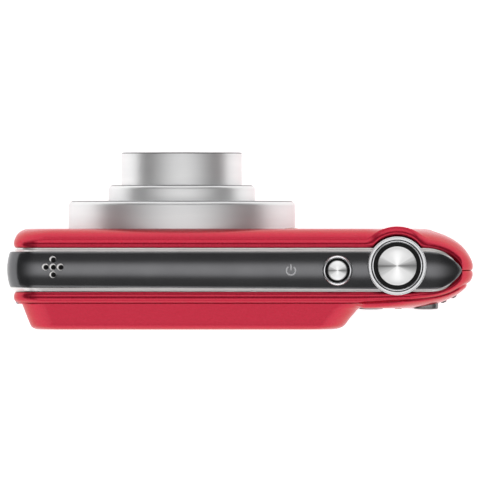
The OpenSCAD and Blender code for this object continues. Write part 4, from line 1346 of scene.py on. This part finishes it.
def dress_nodes():
    for name, material in NODE_MATERIALS.items():
        o = nodes[name]
        if not o.material_slots:
            o.data.materials.append(material)
        for held in o.material_slots:
            held.material = material


# ---------------------------------------------------------------- stage, light, camera


AMBIENT = 0.12
STRIP = 1.35
STRIP_WIDTH = (0.08, 0.32)
STRIP_FALL = 2.6
WIDE = 0.1
HORIZON = 0.8
BOXES = 1.3
FLOOR_GLOW = 0.8
CAMERA_OVER = (0.06, -6.26)
CAMERA_HEIGHT = 3.8
PICTURE_WIDTH = 0.0985


def stage():
    half = 9.0
    verts = [(-half, -half, 0), (half, -half, 0), (half, half, 0), (-half, half, 0)]
    mesh = bpy.data.meshes.new("floor")
    mesh.from_pydata(verts, [], [(0, 1, 2, 3)])
    floor = bpy.data.objects.new("floor", mesh)
    bpy.context.scene.collection.objects.link(floor)
    m, _, s = shader("pale_floor", (0.9, 0.9, 0.9), 0.0, 0.9)
    s.inputs["Emission Color"].default_value = (1, 1, 1, 1)
    s.inputs["Emission Strength"].default_value = FLOOR_GLOW
    mesh.materials.append(m)
    bpy.context.scene.view_settings.view_transform = "Standard"


def studio():
    """Soft light: a strip overhead along X with a faint patch round it, a box and a low glow towards
    each long side, and an even ambient level. Where the camera sees the world itself, it is white."""
    world = bpy.data.worlds.new("studio")
    world.use_nodes = True
    tree = world.node_tree
    background = tree.nodes["Background"]

    def between(value, low, high, top=1.0, bottom=0.0):
        r = add(tree, "ShaderNodeMapRange", interpolation_type="SMOOTHSTEP")
        r.inputs["From Min"].default_value, r.inputs["From Max"].default_value = low, high
        r.inputs["To Min"].default_value, r.inputs["To Max"].default_value = bottom, top
        tree.links.new(value, r.inputs["Value"])
        return r.outputs["Result"]

    split = add(tree, "ShaderNodeSeparateXYZ")
    tree.links.new(add(tree, "ShaderNodeTexCoord").outputs["Generated"], split.inputs[0])
    x, y = (maths(tree, "ABSOLUTE", split.outputs[k]) for k in (0, 1))
    z = split.outputs[2]
    along = maths(tree, "MULTIPLY", maths(tree, "POWER", maths(tree, "MAXIMUM", z, 0.0), STRIP_FALL), STRIP)
    overhead = maths(tree, "MULTIPLY", along, between(y, *STRIP_WIDTH, 0.0, 1.0))
    wide = between(z, 0.55, 0.97, WIDE)
    box = maths(tree, "MULTIPLY", between(y, 0.6, 0.74), between(x, 0.35, 0.6, 0.0, 1.0))
    box = maths(tree, "MULTIPLY", box, between(z, 0.22, 0.36))
    box = maths(tree, "MULTIPLY", box, between(z, 0.66, 0.78, 0.0, BOXES))
    low_ring = maths(tree, "MULTIPLY", between(z, 0.04, 0.42, 0.0, HORIZON), between(y, 0.4, 0.75))
    above = maths(tree, "ADD", overhead, wide)
    around = maths(tree, "ADD", maths(tree, "ADD", box, low_ring), AMBIENT)
    total = maths(tree, "ADD", above, around)
    seen = add(tree, "ShaderNodeLightPath").outputs["Is Camera Ray"]
    tree.links.new(maths(tree, "MAXIMUM", total, seen), background.inputs["Strength"])
    background.inputs["Color"].default_value = (1, 1, 1, 1)
    bpy.context.scene.world = world


def camera():
    data = bpy.data.cameras.new("camera")
    data.sensor_width = 36.0
    height, picture = CAMERA_HEIGHT, PICTURE_WIDTH
    data.lens = data.sensor_width * (height - BAND_TOP * MM) / picture
    o = bpy.data.objects.new("camera", data)
    o.location = (CAMERA_OVER[0] * MM, CAMERA_OVER[1] * MM, height)
    o.rotation_euler = (0, 0, math.pi)
    bpy.context.scene.collection.objects.link(o)
    bpy.context.scene.camera = o


dress_nodes()
front_shell()
rear_shell()
base_pieces()
band()
vent_rims_painted_highlight()
side_frame()
lens_pieces()
button_pieces()
springs()
flash_window()
standby_symbol()
rear_pieces()
grip_dots()
stage()
studio()
camera()
